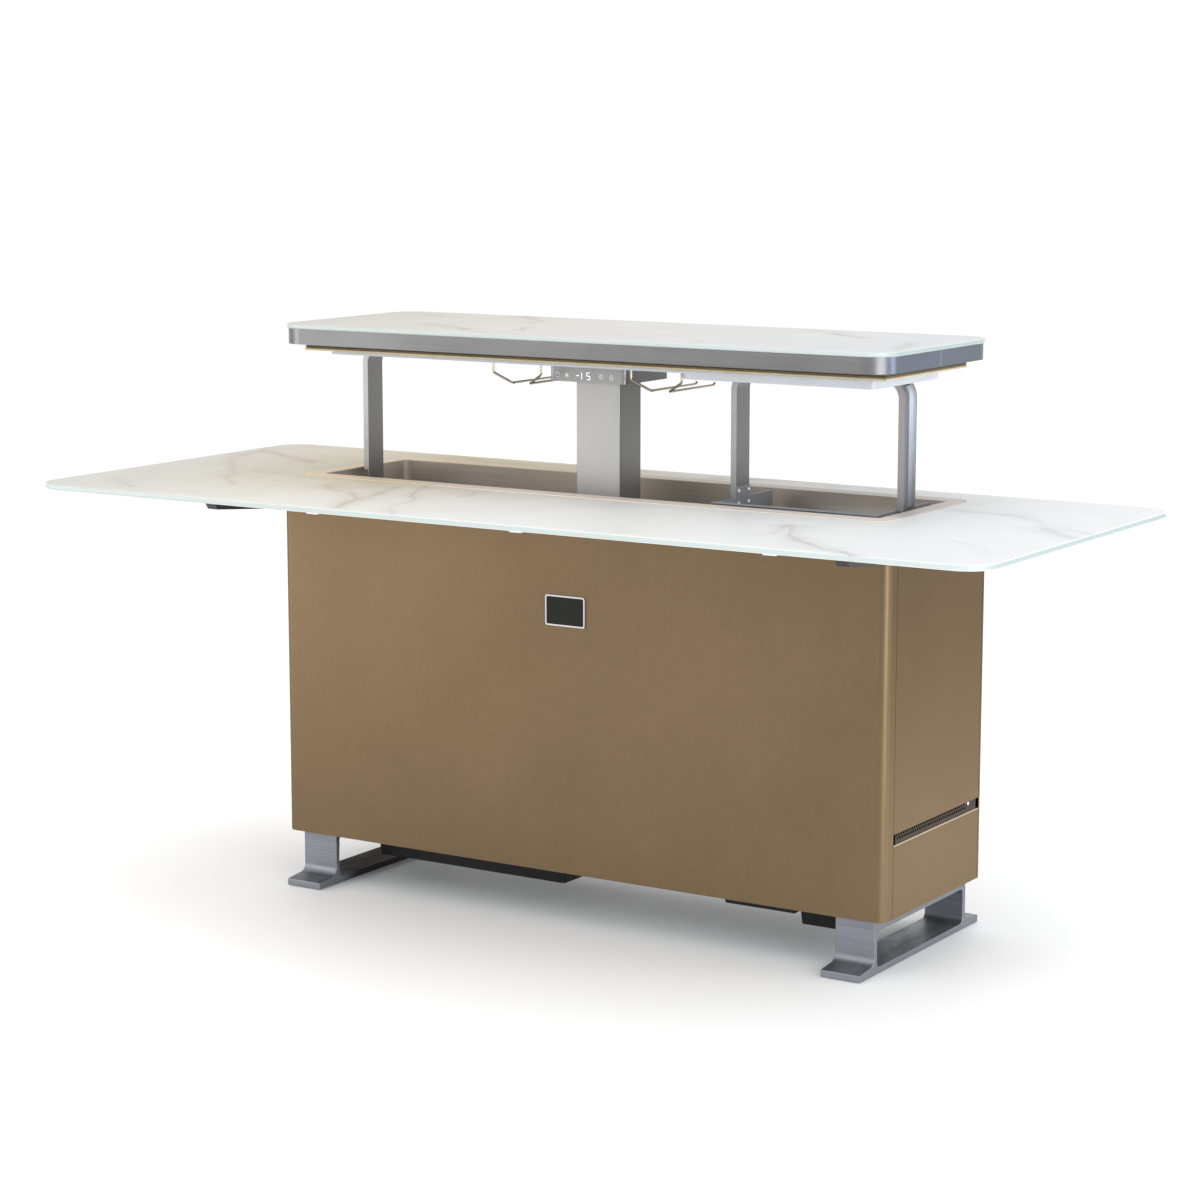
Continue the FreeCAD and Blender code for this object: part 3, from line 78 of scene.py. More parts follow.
# Control head: its face and the digits and marks on it
HEAD_FACE_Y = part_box("control_head")[0][1]
MARK_SINK = 0.00005
MARK_RISE = 0.0003
DIGIT_HEIGHT = 0.0118
DIGIT_WIDTH = 0.0062
DIGIT_STROKE = 0.0008
DIGIT_GAP = 0.62 * DIGIT_STROKE
DIGIT_Z = 0.9470
DIGIT_DASH_X = -0.0610
DIGIT_X = (-0.0587, -0.0420)
DIGIT_SEGMENTS = ("bc", "afgcd")
DIGIT_GLOW = 1.2
ICON_Z = 0.9472
ICON_SIZE = 0.0095
ICON_STROKE = 0.00065
ICON_X = (-0.1025, -0.0830, -0.0130, 0.0080)
ICON_GLOW = 0.15

# Shapes of the four marks, in degrees and in shares of their radius
POWER_ARC = (125, 415)
POWER_STEPS = 22
POWER_STEM = (1.15, 0.15)
COLD_ARMS = 3
COLD_TILT = 30
COLD_HUB = 0.45
COLD_HUB_SIDES = 6
LAMP_BULB = 0.48
LAMP_STEPS = 16
LAMP_RAYS = 8
LAMP_RAY = (0.75, 1.1)
LOCK_HALF = 0.72
LOCK_TOP = 0.1
LOCK_FOOT = -0.9
LOCK_BOW = 0.6
LOCK_BOW_RISE = 0.3
LOCK_STEPS = 10

# Seam of the lid's rim
RIM_SEAM_Y = 0.128
RIM_SEAM_WIDTH = 0.0008
RIM_SEAM_RISE = 0.0002
RIM_SEAM_SINK = 0.0001
RIM_SEAM_INSET = 0.0006

# Gasket: its box, width, and the heights between which its upper rib is painted dark as shade under the rim
GASKET_LOW, GASKET_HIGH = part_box("lid_gasket")
GASKET_HEIGHT = GASKET_HIGH[2] - GASKET_LOW[2]
GASKET_WIDTH = 0.011
GASKET_RIB_SHADE = (GASKET_LOW[2] + 0.56 * GASKET_HEIGHT, GASKET_LOW[2] + 0.70 * GASKET_HEIGHT)

# Gasket section: rounds and insets in metres, rises in shares of its height
BEAD_ROUND = 0.0034
BEAD_RISE = 0.30
BEAD_STEPS = 8
GROOVE_INSET = 0.0022
GROOVE_RISE = 0.64
RIB_ROUND = 0.0014
RIB_RISE = 0.80
RIB_HALF = 0.17
RIB_ARC = 120
RIB_STEPS = 4
CREST_INSET = 0.0026

# Right strap
STRAP_DEPTH = 0.011
STRAP_SHEET = 0.002
STRAP_BEND = 0.028
STRAP_BEND_RISE = 0.024
STRAP_BEND_STEP = 4
STRAP_BEND_COUNT = 11
STRAP_ROUND = 0.0085
STRAP_ROUND_STEPS = 8
STRAP_TAB = 0.020

# Screws: the profile gives shares of the radius and of the dome
SCREW_RADIUS = 0.0032
SCREW_DOME = 0.0022
SCREW_STEPS = 24
SCREW_PROFILE = ((1.0, 0.0), (1.0, 0.32), (0.93, 0.56), (0.76, 0.80), (0.52, 0.94))
SCREW_PIT = (0.20, 0.30)
SCREW_CROSS_WIDTH = 0.55
SCREW_CROSS_DEPTH = 0.42
VENT_SCREW_RADIUS = 0.0030
VENT_SCREW_DOME = 0.0011
VENT_SCREW_Y = 0.2575
VENT_SCREW_Z = 0.2345
WELD_REACH = 1e-5

# Rolled upper edge of the lower side panels; the shares shape its section
FOLD_DROP = 0.0014
FOLD_RISE = 0.0005
FOLD_PROUD = 0.0002
FOLD_DEPTH = 0.0012
FOLD_END_GAP = 0.0006
FOLD_FOOT_SHARE = 0.2
FOLD_BROW_SHARE = 0.4
FOLD_CREST_SHARE = 0.3

# Marble veins on the two sheets: half width, strength and the bends of each vein, in metres
TABLE_VEINS = (
    (0.011, 0.85, ((-0.88, 0.13), (-0.82, 0.06), (-0.68, -0.13), (-0.60, -0.21))),
    (0.014, 1.00, ((-0.85, 0.09), (-0.90, 0.23), (-0.78, 0.18), (-0.70, 0.14))),
    (0.007, 0.55, ((-0.78, 0.01), (-0.70, -0.03), (-0.59, -0.03))),
    (0.013, 0.60, ((-0.48, -0.11), (-0.42, -0.16), (-0.30, -0.22), (-0.26, -0.36))),
    (0.008, 0.60, ((-0.30, -0.22), (-0.33, -0.09))),
    (0.009, 0.52, ((-0.12, -0.41), (-0.20, -0.24), (-0.30, -0.03))),
    (0.010, 0.45, ((-0.84, -0.23), (-0.74, -0.31))),
    (0.008, 0.40, ((-0.17, -0.12), (-0.19, -0.07))),
    (0.017, 0.62, ((0.50, -0.25), (0.48, -0.15), (0.53, -0.23), (0.63, -0.31))),
    (0.007, 0.75, ((0.63, -0.31), (0.72, -0.39))),
    (0.015, 0.50, ((0.60, 0.18), (0.70, 0.17), (0.78, 0.12), (0.91, -0.04))),
    (0.010, 0.42, ((0.78, 0.12), (0.84, 0.07), (0.93, 0.03))),
    (0.010, 0.28, ((0.78, -0.15), (0.88, -0.26))),
    (0.010, 0.55, ((0.05, 0.32), (0.28, 0.36), (0.46, 0.33))),
    (0.009, 0.50, ((-0.52, 0.37), (-0.40, 0.32), (-0.22, 0.34))),
)
LID_VEINS = (
    (0.012, 0.85, ((-0.36, 0.08), (-0.26, 0.00), (-0.18, -0.04))),
    (0.009, 0.75, ((-0.34, 0.31), (-0.22, 0.17))),
    (0.008, 0.60, ((-0.14, 0.03), (-0.18, 0.13))),
    (0.012, 0.95, ((0.23, 0.33), (0.31, 0.28), (0.42, 0.19))),
    (0.008, 0.60, ((0.60, -0.02), (0.55, 0.13))),
    (0.007, 0.45, ((-0.52, 0.26), (-0.40, 0.22), (-0.34, 0.31))),
    (0.007, 0.40, ((0.06, 0.10), (0.16, 0.05), (0.23, -0.03))),
)

# How far the veins wander, the width and strength of core and halo, and the hairs between the veins
VEIN_WANDER = 0.10
VEIN_WANDER_SCALE = 7.0
VEIN_CORE = (0.70, 0.50)
VEIN_HALO = (3.4, 0.36)
VEIN_FAR = 10.0
# The second vein colour carries the painted cool light of the right end
VEIN_PAINT = ((0.36, 0.285, 0.235), (0.36, 0.37, 0.42))
HAIR_WIDTH = 0.012
HAIR_STRENGTH = 0.09

# Ground of the marble: clouds, painted warm light in the rear corner, painted shade at the left end and
# painted cool light at the right end, as shares of white
CLOUD_TINT = (0.93, 0.93, 0.93)
WARM_LIGHT_CORNER = (-0.62, 0.36)
WARM_LIGHT_START = 0.05
WARM_LIGHT_REACH = 1.00
WARM_LIGHT_TINT = (0.80, 0.67, 0.35)
SHADE_START = -0.95
SHADE_END = -0.30
SHADE_DEPTH = 0.80
SHADE_TINT = (0.70, 0.685, 0.655)
COOL_LIGHT_START = 0.10
COOL_LIGHT_END = 0.90
COOL_LIGHT_DEPTH = 0.8
COOL_LIGHT_TINT = (0.955, 0.985, 1.02)

# Polished edges of the glass; the two ends are darker
EDGE_PAINT = ((0.47, 0.535, 0.513), (0.53, 0.590, 0.572))
END_EDGE_PAINT = (0.200, 0.270, 0.265)
END_EDGE_SHARE = 0.45
EDGE_TURN = (0.30, 0.75)
POLISH_TURN = (0.80, 0.97)
GLASS_IOR = 1.5

# Trim tone along X from warm to pale, a painted warm light at the left end, and the Y and X between which its
# front band is painted lighter as light falling on it
TRIM_WARM_LIGHT_END = -0.55
TRIM_PALE_END = 0.45
TRIM_LIGHT = ((0.75, 0.62, 0.46), (0.57, 0.54, 0.50))
TRIM_DARK = ((0.65, 0.53, 0.38), (0.51, 0.48, 0.44))
TRIM_FRONT_LIGHT_Y = (0.000, 0.050)
TRIM_FRONT_LIGHT_X = (-0.45, -0.12)
TRIM_FRONT_LIGHT_SHARE = 0.60
TRIM_FRONT_LIGHT_PAINT = (0.88, 0.80, 0.71)

# Column: heights between which its lower end is painted lighter as a reflection, and by how much, on front
# and sides
COLUMN_LIT_FOOT_Z = (0.76, 0.95)
COLUMN_LIT_FOOT_SHARE = 0.40
COLUMN_LIT_FOOT_PAINT = (0.80, 0.79, 0.78)
COLUMN_LIT_SIDE_SHARE = 0.42
COLUMN_LIT_SIDE_PAINT = (0.50, 0.50, 0.50)

# Tank: a patch painted lighter as light below the rim at its right end
TANK_LIT_PATCH_X = (0.20, 0.42)
TANK_LIT_PATCH_Z = (0.710, 0.743)
TANK_LIT_PATCH_SHARE = 0.85
TANK_LIT_PATCH_PAINT = (0.90, 0.88, 0.85)

# Feet: alloy, dirt on the level faces, and the painted shade on the part of the left foot in the shade of the
# cabinet, which also has darker reflections
FOOT_ALLOY = ((0.205, 0.214, 0.238), (0.268, 0.279, 0.306))
FOOT_DIRT = (0.115, 0.108, 0.100)
FOOT_DIRT_SHARE = 0.65
FOOT_SHADE_FRONT = (-0.035, 0.030)
FOOT_SHADE_REAR = (0.240, 0.285)
FOOT_SHADE_TOP = (0.020, 0.034)
FOOT_SHADE_DEPTH = 0.95
FOOT_SHADE_PAINT = (0.030, 0.027, 0.024)
FOOT_SHADE_TINT = (0.42, 0.41, 0.40, 1.0)

# Champagne paint: its tone at a low angle, and the end panels painted lighter below as light from the floor
# and darker above as shade under the top
PANEL_TINT = (0.85, 0.78, 0.68, 1.0)
PANEL_LIT_LOW_Z = (0.12, 0.50)
PANEL_LIT_LOW_SHARE = 0.42
PANEL_LIT_LOW_PAINT = (0.320, 0.235, 0.150)
PANEL_SHADED_HIGH_Z = (0.40, 0.72)
PANEL_SHADED_HIGH_SHARE = 0.50
PANEL_SHADED_HIGH_PAINT = (0.118, 0.082, 0.047)

# Ranges of grey noise that hold most of its values, and depths of the surface relief
NARROW = (0.34, 0.66)
MIDDLING = (0.35, 0.65)
WIDE = (0.30, 0.70)
RELIEF = 0.0003
FINE_RELIEF = 0.0002

# Other shares that several materials use
END_FACE = (0.75, 0.98)
SIDE_SHADE_DARK = 0.82
COAT_ROUGHNESS = 0.1

# Noise scales that draw lines up, along the level, along the length, or none
VERTICAL = (900.0, 900.0, 5.0)
LEVEL = (5.0, 5.0, 900.0)
LENGTHWISE = (5.0, 900.0, 900.0)
EVEN = (400.0, 400.0, 400.0)


class Shader:
    """One node material while it is put together."""

    def __init__(self, name):
        self.material = bpy.data.materials.new(name)
        self.material.use_nodes = True
        self.tree = self.material.node_tree
        self.surface = self.tree.nodes["Principled BSDF"]
        self.place = self.add("ShaderNodeTexCoord").outputs["Object"]

    def add(self, kind):
        return self.tree.nodes.new(kind)

    def join(self, source, target):
        if isinstance(source, bpy.types.NodeSocket):
            self.tree.links.new(source, target)
        else:
            target.default_value = source

    def stretch(self, scale):
        """Object coordinates scaled by three factors."""
        mapping = self.add("ShaderNodeMapping")
        self.join(self.place, mapping.inputs["Vector"])
        mapping.inputs["Scale"].default_value = scale
        return mapping.outputs["Vector"]

    def noise(self, scale, detail=3.0, roughness=0.55, distortion=0.0, output="Fac"):
        """Noise, grey unless output is Color; scale is one number or three factors along the axes."""
        node = self.add("ShaderNodeTexNoise")
        factors = scale if isinstance(scale, tuple) else (scale, scale, scale)
        self.join(self.stretch(factors), node.inputs["Vector"])
        node.inputs["Scale"].default_value = 1.0
        node.inputs["Detail"].default_value = detail
        node.inputs["Roughness"].default_value = roughness
        node.inputs["Distortion"].default_value = distortion
        return node.outputs[output]

    def math(self, operation, a, b=0.0):
        node = self.add("ShaderNodeMath")
        node.operation = operation
        self.join(a, node.inputs[0])
        self.join(b, node.inputs[1])
        return node.outputs[0]

    def product(self, first, *others):
        total = first
        for other in others:
            total = self.math("MULTIPLY", total, other)
        return total

    def weigh(self, *terms):
        """Sum of values, each times its weight."""
        parts = [self.product(value, weight) for value, weight in terms]
        total = parts[0]
        for part in parts[1:]:
            total = self.math("ADD", total, part)
        return total

    def span(self, value, low, high, to_low=0.0, to_high=1.0):
        """Map a range of value onto another range, held at its ends."""
        node = self.add("ShaderNodeMapRange")
        node.interpolation_type = "SMOOTHSTEP"
        self.join(value, node.inputs["Value"])
        node.inputs["From Min"].default_value = low
        node.inputs["From Max"].default_value = high
        node.inputs["To Min"].default_value = to_low
        node.inputs["To Max"].default_value = to_high
        return node.outputs["Result"]

    def mix(self, amount, first, second):
        node = self.add("ShaderNodeMix")
        node.data_type = "RGBA"
        self.join(amount, node.inputs["Factor"])
        for value, socket in ((first, node.inputs[6]), (second, node.inputs[7])):
            self.join(value if isinstance(value, bpy.types.NodeSocket) else (*value, 1.0), socket)
        return node.outputs[2]

    def bump(self, height, strength, distance=RELIEF):
        node = self.add("ShaderNodeBump")
        node.inputs["Strength"].default_value = strength
        node.inputs["Distance"].default_value = distance
        self.join(height, node.inputs["Height"])
        self.join(node.outputs["Normal"], self.surface.inputs["Normal"])

    def along(self, axis, vector=None):
        """One coordinate of a vector, or else of the place on the object."""
        split = self.add("ShaderNodeSeparateXYZ")
        self.join(self.place if vector is None else vector, split.inputs[0])
        return split.outputs[axis]

    def facing(self, axis):
        """How far faces look along an axis, from minus one to one."""
        return self.along(axis, self.add("ShaderNodeNewGeometry").outputs["Normal"])

    def across_x(self):
        """One on faces that look either way along X, falling to nought on the others."""
        return self.span(self.math("ABSOLUTE", self.facing("X")), *END_FACE)

    def vector(self, operation, first, second):
        node = self.add("ShaderNodeVectorMath")
        node.operation = operation
        self.join(first, node.inputs[0])
        self.join(second, node.inputs["Scale"] if operation == "SCALE" else node.inputs[1])
        return node.outputs["Value"] if operation == "DOT_PRODUCT" else node.outputs["Vector"]

    def length(self, vector):
        node = self.add("ShaderNodeVectorMath")
        node.operation = "LENGTH"
        self.join(vector, node.inputs[0])
        return node.outputs["Value"]

    def from_run(self, place, start, end):
        """Distance of a place from the straight run between two points."""
        run = Vector((end[0] - start[0], end[1] - start[1], 0.0))
        heading = tuple(run.normalized())
        offset = self.vector("SUBTRACT", place, (start[0], start[1], 0.0))
        reached = self.vector("DOT_PRODUCT", offset, heading)
        reached = self.math("MINIMUM", self.math("MAXIMUM", reached, 0.0), run.length)
        return self.length(self.vector("SUBTRACT", offset, self.vector("SCALE", heading, reached)))

    def finish(self, colour, roughness, metallic=0.0, coat=0.0, specular=0.5):
        surface = self.surface.inputs
        paint = colour if isinstance(colour, bpy.types.NodeSocket) else (*colour, 1.0)
        self.join(paint, surface["Base Color"])
        self.join(roughness, surface["Roughness"])
        surface["Metallic"].default_value = metallic
        surface["Coat Weight"].default_value = coat
        surface["Coat Roughness"].default_value = COAT_ROUGHNESS
        surface["Specular IOR Level"].default_value = specular
        return self.material


def tinted(colour, tint):
    return tuple(c * t for c, t in zip(colour, tint))


def sheet_tone(s, grain):
    """Fine lines, soft clouds, and the tone that both make together."""
    lines = s.noise(grain, detail=4.0, roughness=0.7)
    clouds = s.noise(5.0, detail=2.0)
    return lines, clouds, s.span(s.weigh((lines, 0.55), (clouds, 0.45)), *NARROW)


def brushed(name, light, dark, grain, roughness, metallic=1.0, strength=0.05, side_shading=None, rise=None):
    """Bare metal with fine lines; sides paints shade or light on faces along X, rise the heights of a foot
    painted lighter.
    """
    s = Shader(name)
    lines, clouds, tone = sheet_tone(s, grain)
    colour = s.mix(tone, dark, light)
    # Painted reflection: the lower end of the metal turns lighter
    if rise:
        lower = s.span(s.along("Z"), *rise, COLUMN_LIT_FOOT_SHARE, 0.0)
        colour = s.mix(lower, colour, COLUMN_LIT_FOOT_PAINT)
    # Painted shade: the faces along X take the side colours
    if side_shading:
        low = tuple(SIDE_SHADE_DARK * c for c in side_shading)
        colour = s.mix(s.across_x(), colour, s.mix(tone, low, side_shading))
    # Painted reflection on the lower end of the faces along X too
    if rise:
        colour = s.mix(s.product(lower, COLUMN_LIT_SIDE_SHARE), colour, COLUMN_LIT_SIDE_PAINT)
    polish = s.math("ADD", s.span(lines, *WIDE, -0.05, 0.05),
                    s.span(clouds, *WIDE, roughness - 0.03, roughness + 0.04))
    s.bump(lines, strength)
    return s.finish(colour, polish, metallic)


def moulded(name, light, dark, roughness, scale, strength, metallic=0.0, coat=0.0, specular=0.5, wall_shade=None,
            rib=None):
    """Textured plastic, rubber or paint; walls paints shade on faces that don't look along X, rib paints
    shade on the top of a bead.
    """
    s = Shader(name)
    fine = s.noise(scale, detail=4.0, roughness=0.6)
    clouds = s.noise(11.0, detail=3.0)
    colour = s.mix(s.span(s.weigh((fine, 0.45), (clouds, 0.55)), *MIDDLING), dark, light)
    # Painted shade on faces that don't look along X, such as the walls of holes
    if wall_shade:
        colour = s.mix(s.across_x(), wall_shade, colour)
    # Painted shade on the top of the bead, under the rim
    if rib:
        colour = s.mix(s.span(s.along("Z"), *GASKET_RIB_SHADE), colour, rib)
    s.bump(fine, strength)
    polish = s.span(clouds, *WIDE, roughness - 0.05, roughness + 0.06)
    return s.finish(colour, polish, metallic, coat, specular)


def vein_share(s, veins, flat):
    """How much of each place the veins and the fine hairs between them cover."""
    shift = s.add("ShaderNodeVectorMath")
    shift.operation = "MULTIPLY_ADD"
    s.join(s.noise(VEIN_WANDER_SCALE, detail=4.0, roughness=0.5, output="Color"), shift.inputs[0])
    shift.inputs[1].default_value = (VEIN_WANDER, VEIN_WANDER, 0.0)
    shift.inputs[2].default_value = (-VEIN_WANDER / 2, -VEIN_WANDER / 2, 0.0)
    moved = s.vector("ADD", flat, shift.outputs[0])
    uneven = s.span(s.noise(11.0, detail=2.0), *WIDE, 0.6, 1.6)
    total = 0.0
    for width, strength, bends in veins:
        near = VEIN_FAR
        for start, end in zip(bends, bends[1:]):
            near = s.math("MINIMUM", s.from_run(moved, start, end), near)
        near = s.product(near, uneven)
        core, halo = (s.span(near, 0.0, width * reach, share * strength, 0.0)
                      for reach, share in (VEIN_CORE, VEIN_HALO))
        total = s.math("MAXIMUM", s.math("ADD", core, halo), total)
    fade = s.span(s.noise(5.0, detail=2.0), 0.34, 0.62, 0.35, 1.0)
    hair = s.noise(2.3, detail=2.5, roughness=0.5, distortion=0.9)
    hair = s.math("ABSOLUTE", s.math("SUBTRACT", hair, 0.5))
    hair = s.product(s.span(hair, 0.0, HAIR_WIDTH, HAIR_STRENGTH, 0.0), s.span(s.noise(3.1), 0.46, 0.62))
    return s.math("MAXIMUM", s.product(total, fade), hair)


def marble_ground(s, flat, white, warmth, cool):
    """Clouded white with painted warm light, painted shade and painted cool light across the sheet."""
    clouds = s.span(s.noise(2.2, detail=5.0, distortion=0.6), 0.35, 0.70)
    ground = s.mix(clouds, white, tinted(white, CLOUD_TINT))
    corner = s.length(s.vector("SUBTRACT", flat, (*WARM_LIGHT_CORNER, 0.0)))
    warm = s.product(s.span(corner, WARM_LIGHT_START, WARM_LIGHT_REACH, warmth, 0.0), s.span(clouds, 0.0, 1.0, 0.75, 1.0))
    ground = s.mix(warm, ground, tinted(white, WARM_LIGHT_TINT))
    shade = s.span(s.along("X"), SHADE_START, SHADE_END, SHADE_DEPTH, 0.0)
    ground = s.mix(shade, ground, tinted(white, SHADE_TINT))
    return s.mix(cool, ground, tinted(white, COOL_LIGHT_TINT))


def marble_glass(name, veins, white, warmth):
    """Satin white glass with soft veins printed below it and a pale green polished edge."""
    s = Shader(name)
    flat = s.vector("MULTIPLY", s.place, (1.0, 1.0, 0.0))
    # Painted cool light towards the right end, on the ground and the veins
    cool = s.span(s.along("X"), COOL_LIGHT_START, COOL_LIGHT_END, 0.0, COOL_LIGHT_DEPTH)
    ground = marble_ground(s, flat, white, warmth, cool)
    face = s.mix(vein_share(s, veins, flat), ground, s.mix(cool, *VEIN_PAINT))
    edge = s.mix(s.noise((4.0, 4.0, 260.0)), *EDGE_PAINT)
    edge = s.mix(s.product(s.across_x(), END_EDGE_SHARE), edge, END_EDGE_PAINT)
    level = s.math("ABSOLUTE", s.facing("Z"))
    colour = s.mix(s.span(level, *EDGE_TURN), edge, face)
    satin = s.span(s.noise(13.0, detail=4.0), 0.35, 0.7, 0.48, 0.58)
    polish = s.product(s.span(level, *POLISH_TURN, 0.35, 1.0), satin)
    s.surface.inputs["IOR"].default_value = GLASS_IOR
    return s.finish(colour, polish, specular=0.25)


def champagne_panel(name, light, dark, roughness):
    """Metallic champagne paint over sheet with a fine crossed weave of lines."""
    s = Shader(name)
    flat_lines = s.noise((40.0, 40.0, 1100.0))
    tall_lines = s.noise((1100.0, 1100.0, 40.0))
    weave = s.product(s.math("ADD", flat_lines, tall_lines), 0.5)
    flakes = s.noise(1500.0, detail=1.0)
    clouds = s.noise(2.6, detail=4.0)
    tone = s.weigh((weave, 0.45), (flakes, 0.25), (clouds, 0.30))
    colour = s.mix(s.span(tone, 0.36, 0.64), dark, light)
    # Painted light low on the end panels and painted shade high on them
    low = s.product(s.across_x(), s.span(s.along("Z"), *PANEL_LIT_LOW_Z, PANEL_LIT_LOW_SHARE, 0.0))
    high = s.product(s.across_x(), s.span(s.along("Z"), *PANEL_SHADED_HIGH_Z, 0.0, PANEL_SHADED_HIGH_SHARE))
    colour = s.mix(high, s.mix(low, colour, PANEL_LIT_LOW_PAINT), PANEL_SHADED_HIGH_PAINT)
    s.bump(weave, 0.10, FINE_RELIEF)
    s.surface.inputs["Specular Tint"].default_value = PANEL_TINT
    return s.finish(colour, s.span(flakes, *WIDE, roughness - 0.06, roughness + 0.06), 0.95)


def foot_metal(name, shaded=False):
    """Bead-blasted aluminium, scuffed and dusty on top; a shaded one has painted shade behind its toe and
    darker reflections.
    """
    s = Shader(name)
    grain = s.noise(1400.0, detail=2.0)
    lines = s.noise((6.0, 500.0, 500.0), detail=2.0)
    scuff = s.noise((26.0, 9.0, 26.0), detail=7.0, roughness=0.72)
    dirt = s.product(s.span(scuff, 0.46, 0.66), s.span(s.facing("Z"), 0.6, 0.95), FOOT_DIRT_SHARE)
    metal = s.mix(s.span(s.weigh((grain, 0.5), (lines, 0.5)), *MIDDLING), *FOOT_ALLOY)
    colour = s.mix(dirt, metal, FOOT_DIRT)
    if shaded:
        # Painted shade: darker reflections all over the left foot, and a dark colour on the bar behind its
        # toe
        s.surface.inputs["Specular Tint"].default_value = FOOT_SHADE_TINT
        depth = s.product(s.span(s.along("Y"), *FOOT_SHADE_FRONT, 0.0, FOOT_SHADE_DEPTH),
                          s.span(s.along("Y"), *FOOT_SHADE_REAR, 1.0, 0.0),
                          s.span(s.along("Z"), *FOOT_SHADE_TOP, 1.0, 0.0))
        colour = s.mix(depth, colour, FOOT_SHADE_PAINT)
    s.bump(grain, 0.12, FINE_RELIEF)
    return s.finish(colour, s.span(scuff, *WIDE, 0.40, 0.56), 0.85)


def trim_metal(name):
    """Satin champagne strip, painted golden by warm light at the left end and paler to the right, with a
    front band painted lighter.
    """
    s = Shader(name)
    lines = s.noise(LENGTHWISE, detail=4.0, roughness=0.7)
    pale = s.span(s.along("X"), TRIM_WARM_LIGHT_END, TRIM_PALE_END)
    colour = s.mix(s.span(lines, *NARROW), s.mix(pale, *TRIM_DARK), s.mix(pale, *TRIM_LIGHT))
    # Painted light on the front band of the trim
    front = s.product(s.span(s.along("Y"), *TRIM_FRONT_LIGHT_Y, TRIM_FRONT_LIGHT_SHARE, 0.0),
                      s.span(s.along("X"), *TRIM_FRONT_LIGHT_X))
    colour = s.mix(front, colour, TRIM_FRONT_LIGHT_PAINT)
    s.bump(lines, 0.03)
    return s.finish(colour, s.span(lines, *WIDE, 0.56, 0.66), 0.4)


def tank_metal(name, light, dark):
    """Level brushed sheet, with a patch of painted light below the rim at the right end."""
    s = Shader(name)
    lines, clouds, tone = sheet_tone(s, (3.0, 3.0, 240.0))
    # Painted light below the rim at the right end
    glow = s.product(s.span(s.along("X"), *TANK_LIT_PATCH_X),
                     s.span(s.along("Z"), *TANK_LIT_PATCH_Z, TANK_LIT_PATCH_SHARE, 0.0))
    colour = s.mix(glow, s.mix(tone, dark, light), TANK_LIT_PATCH_PAINT)
    s.bump(lines, 0.05)
    return s.finish(colour, s.span(clouds, *WIDE, 0.33, 0.40), 0.6)


def glowing(name, colour, strength):
    """Lit display element with a slightly uneven glow."""
    s = Shader(name)
    tint = s.mix(s.noise(900.0, detail=1.0), colour, (1.0, 1.0, 1.0))
    s.join(tint, s.surface.inputs["Emission Color"])
    s.surface.inputs["Emission Strength"].default_value = strength
    return s.finish(tint, 0.4)


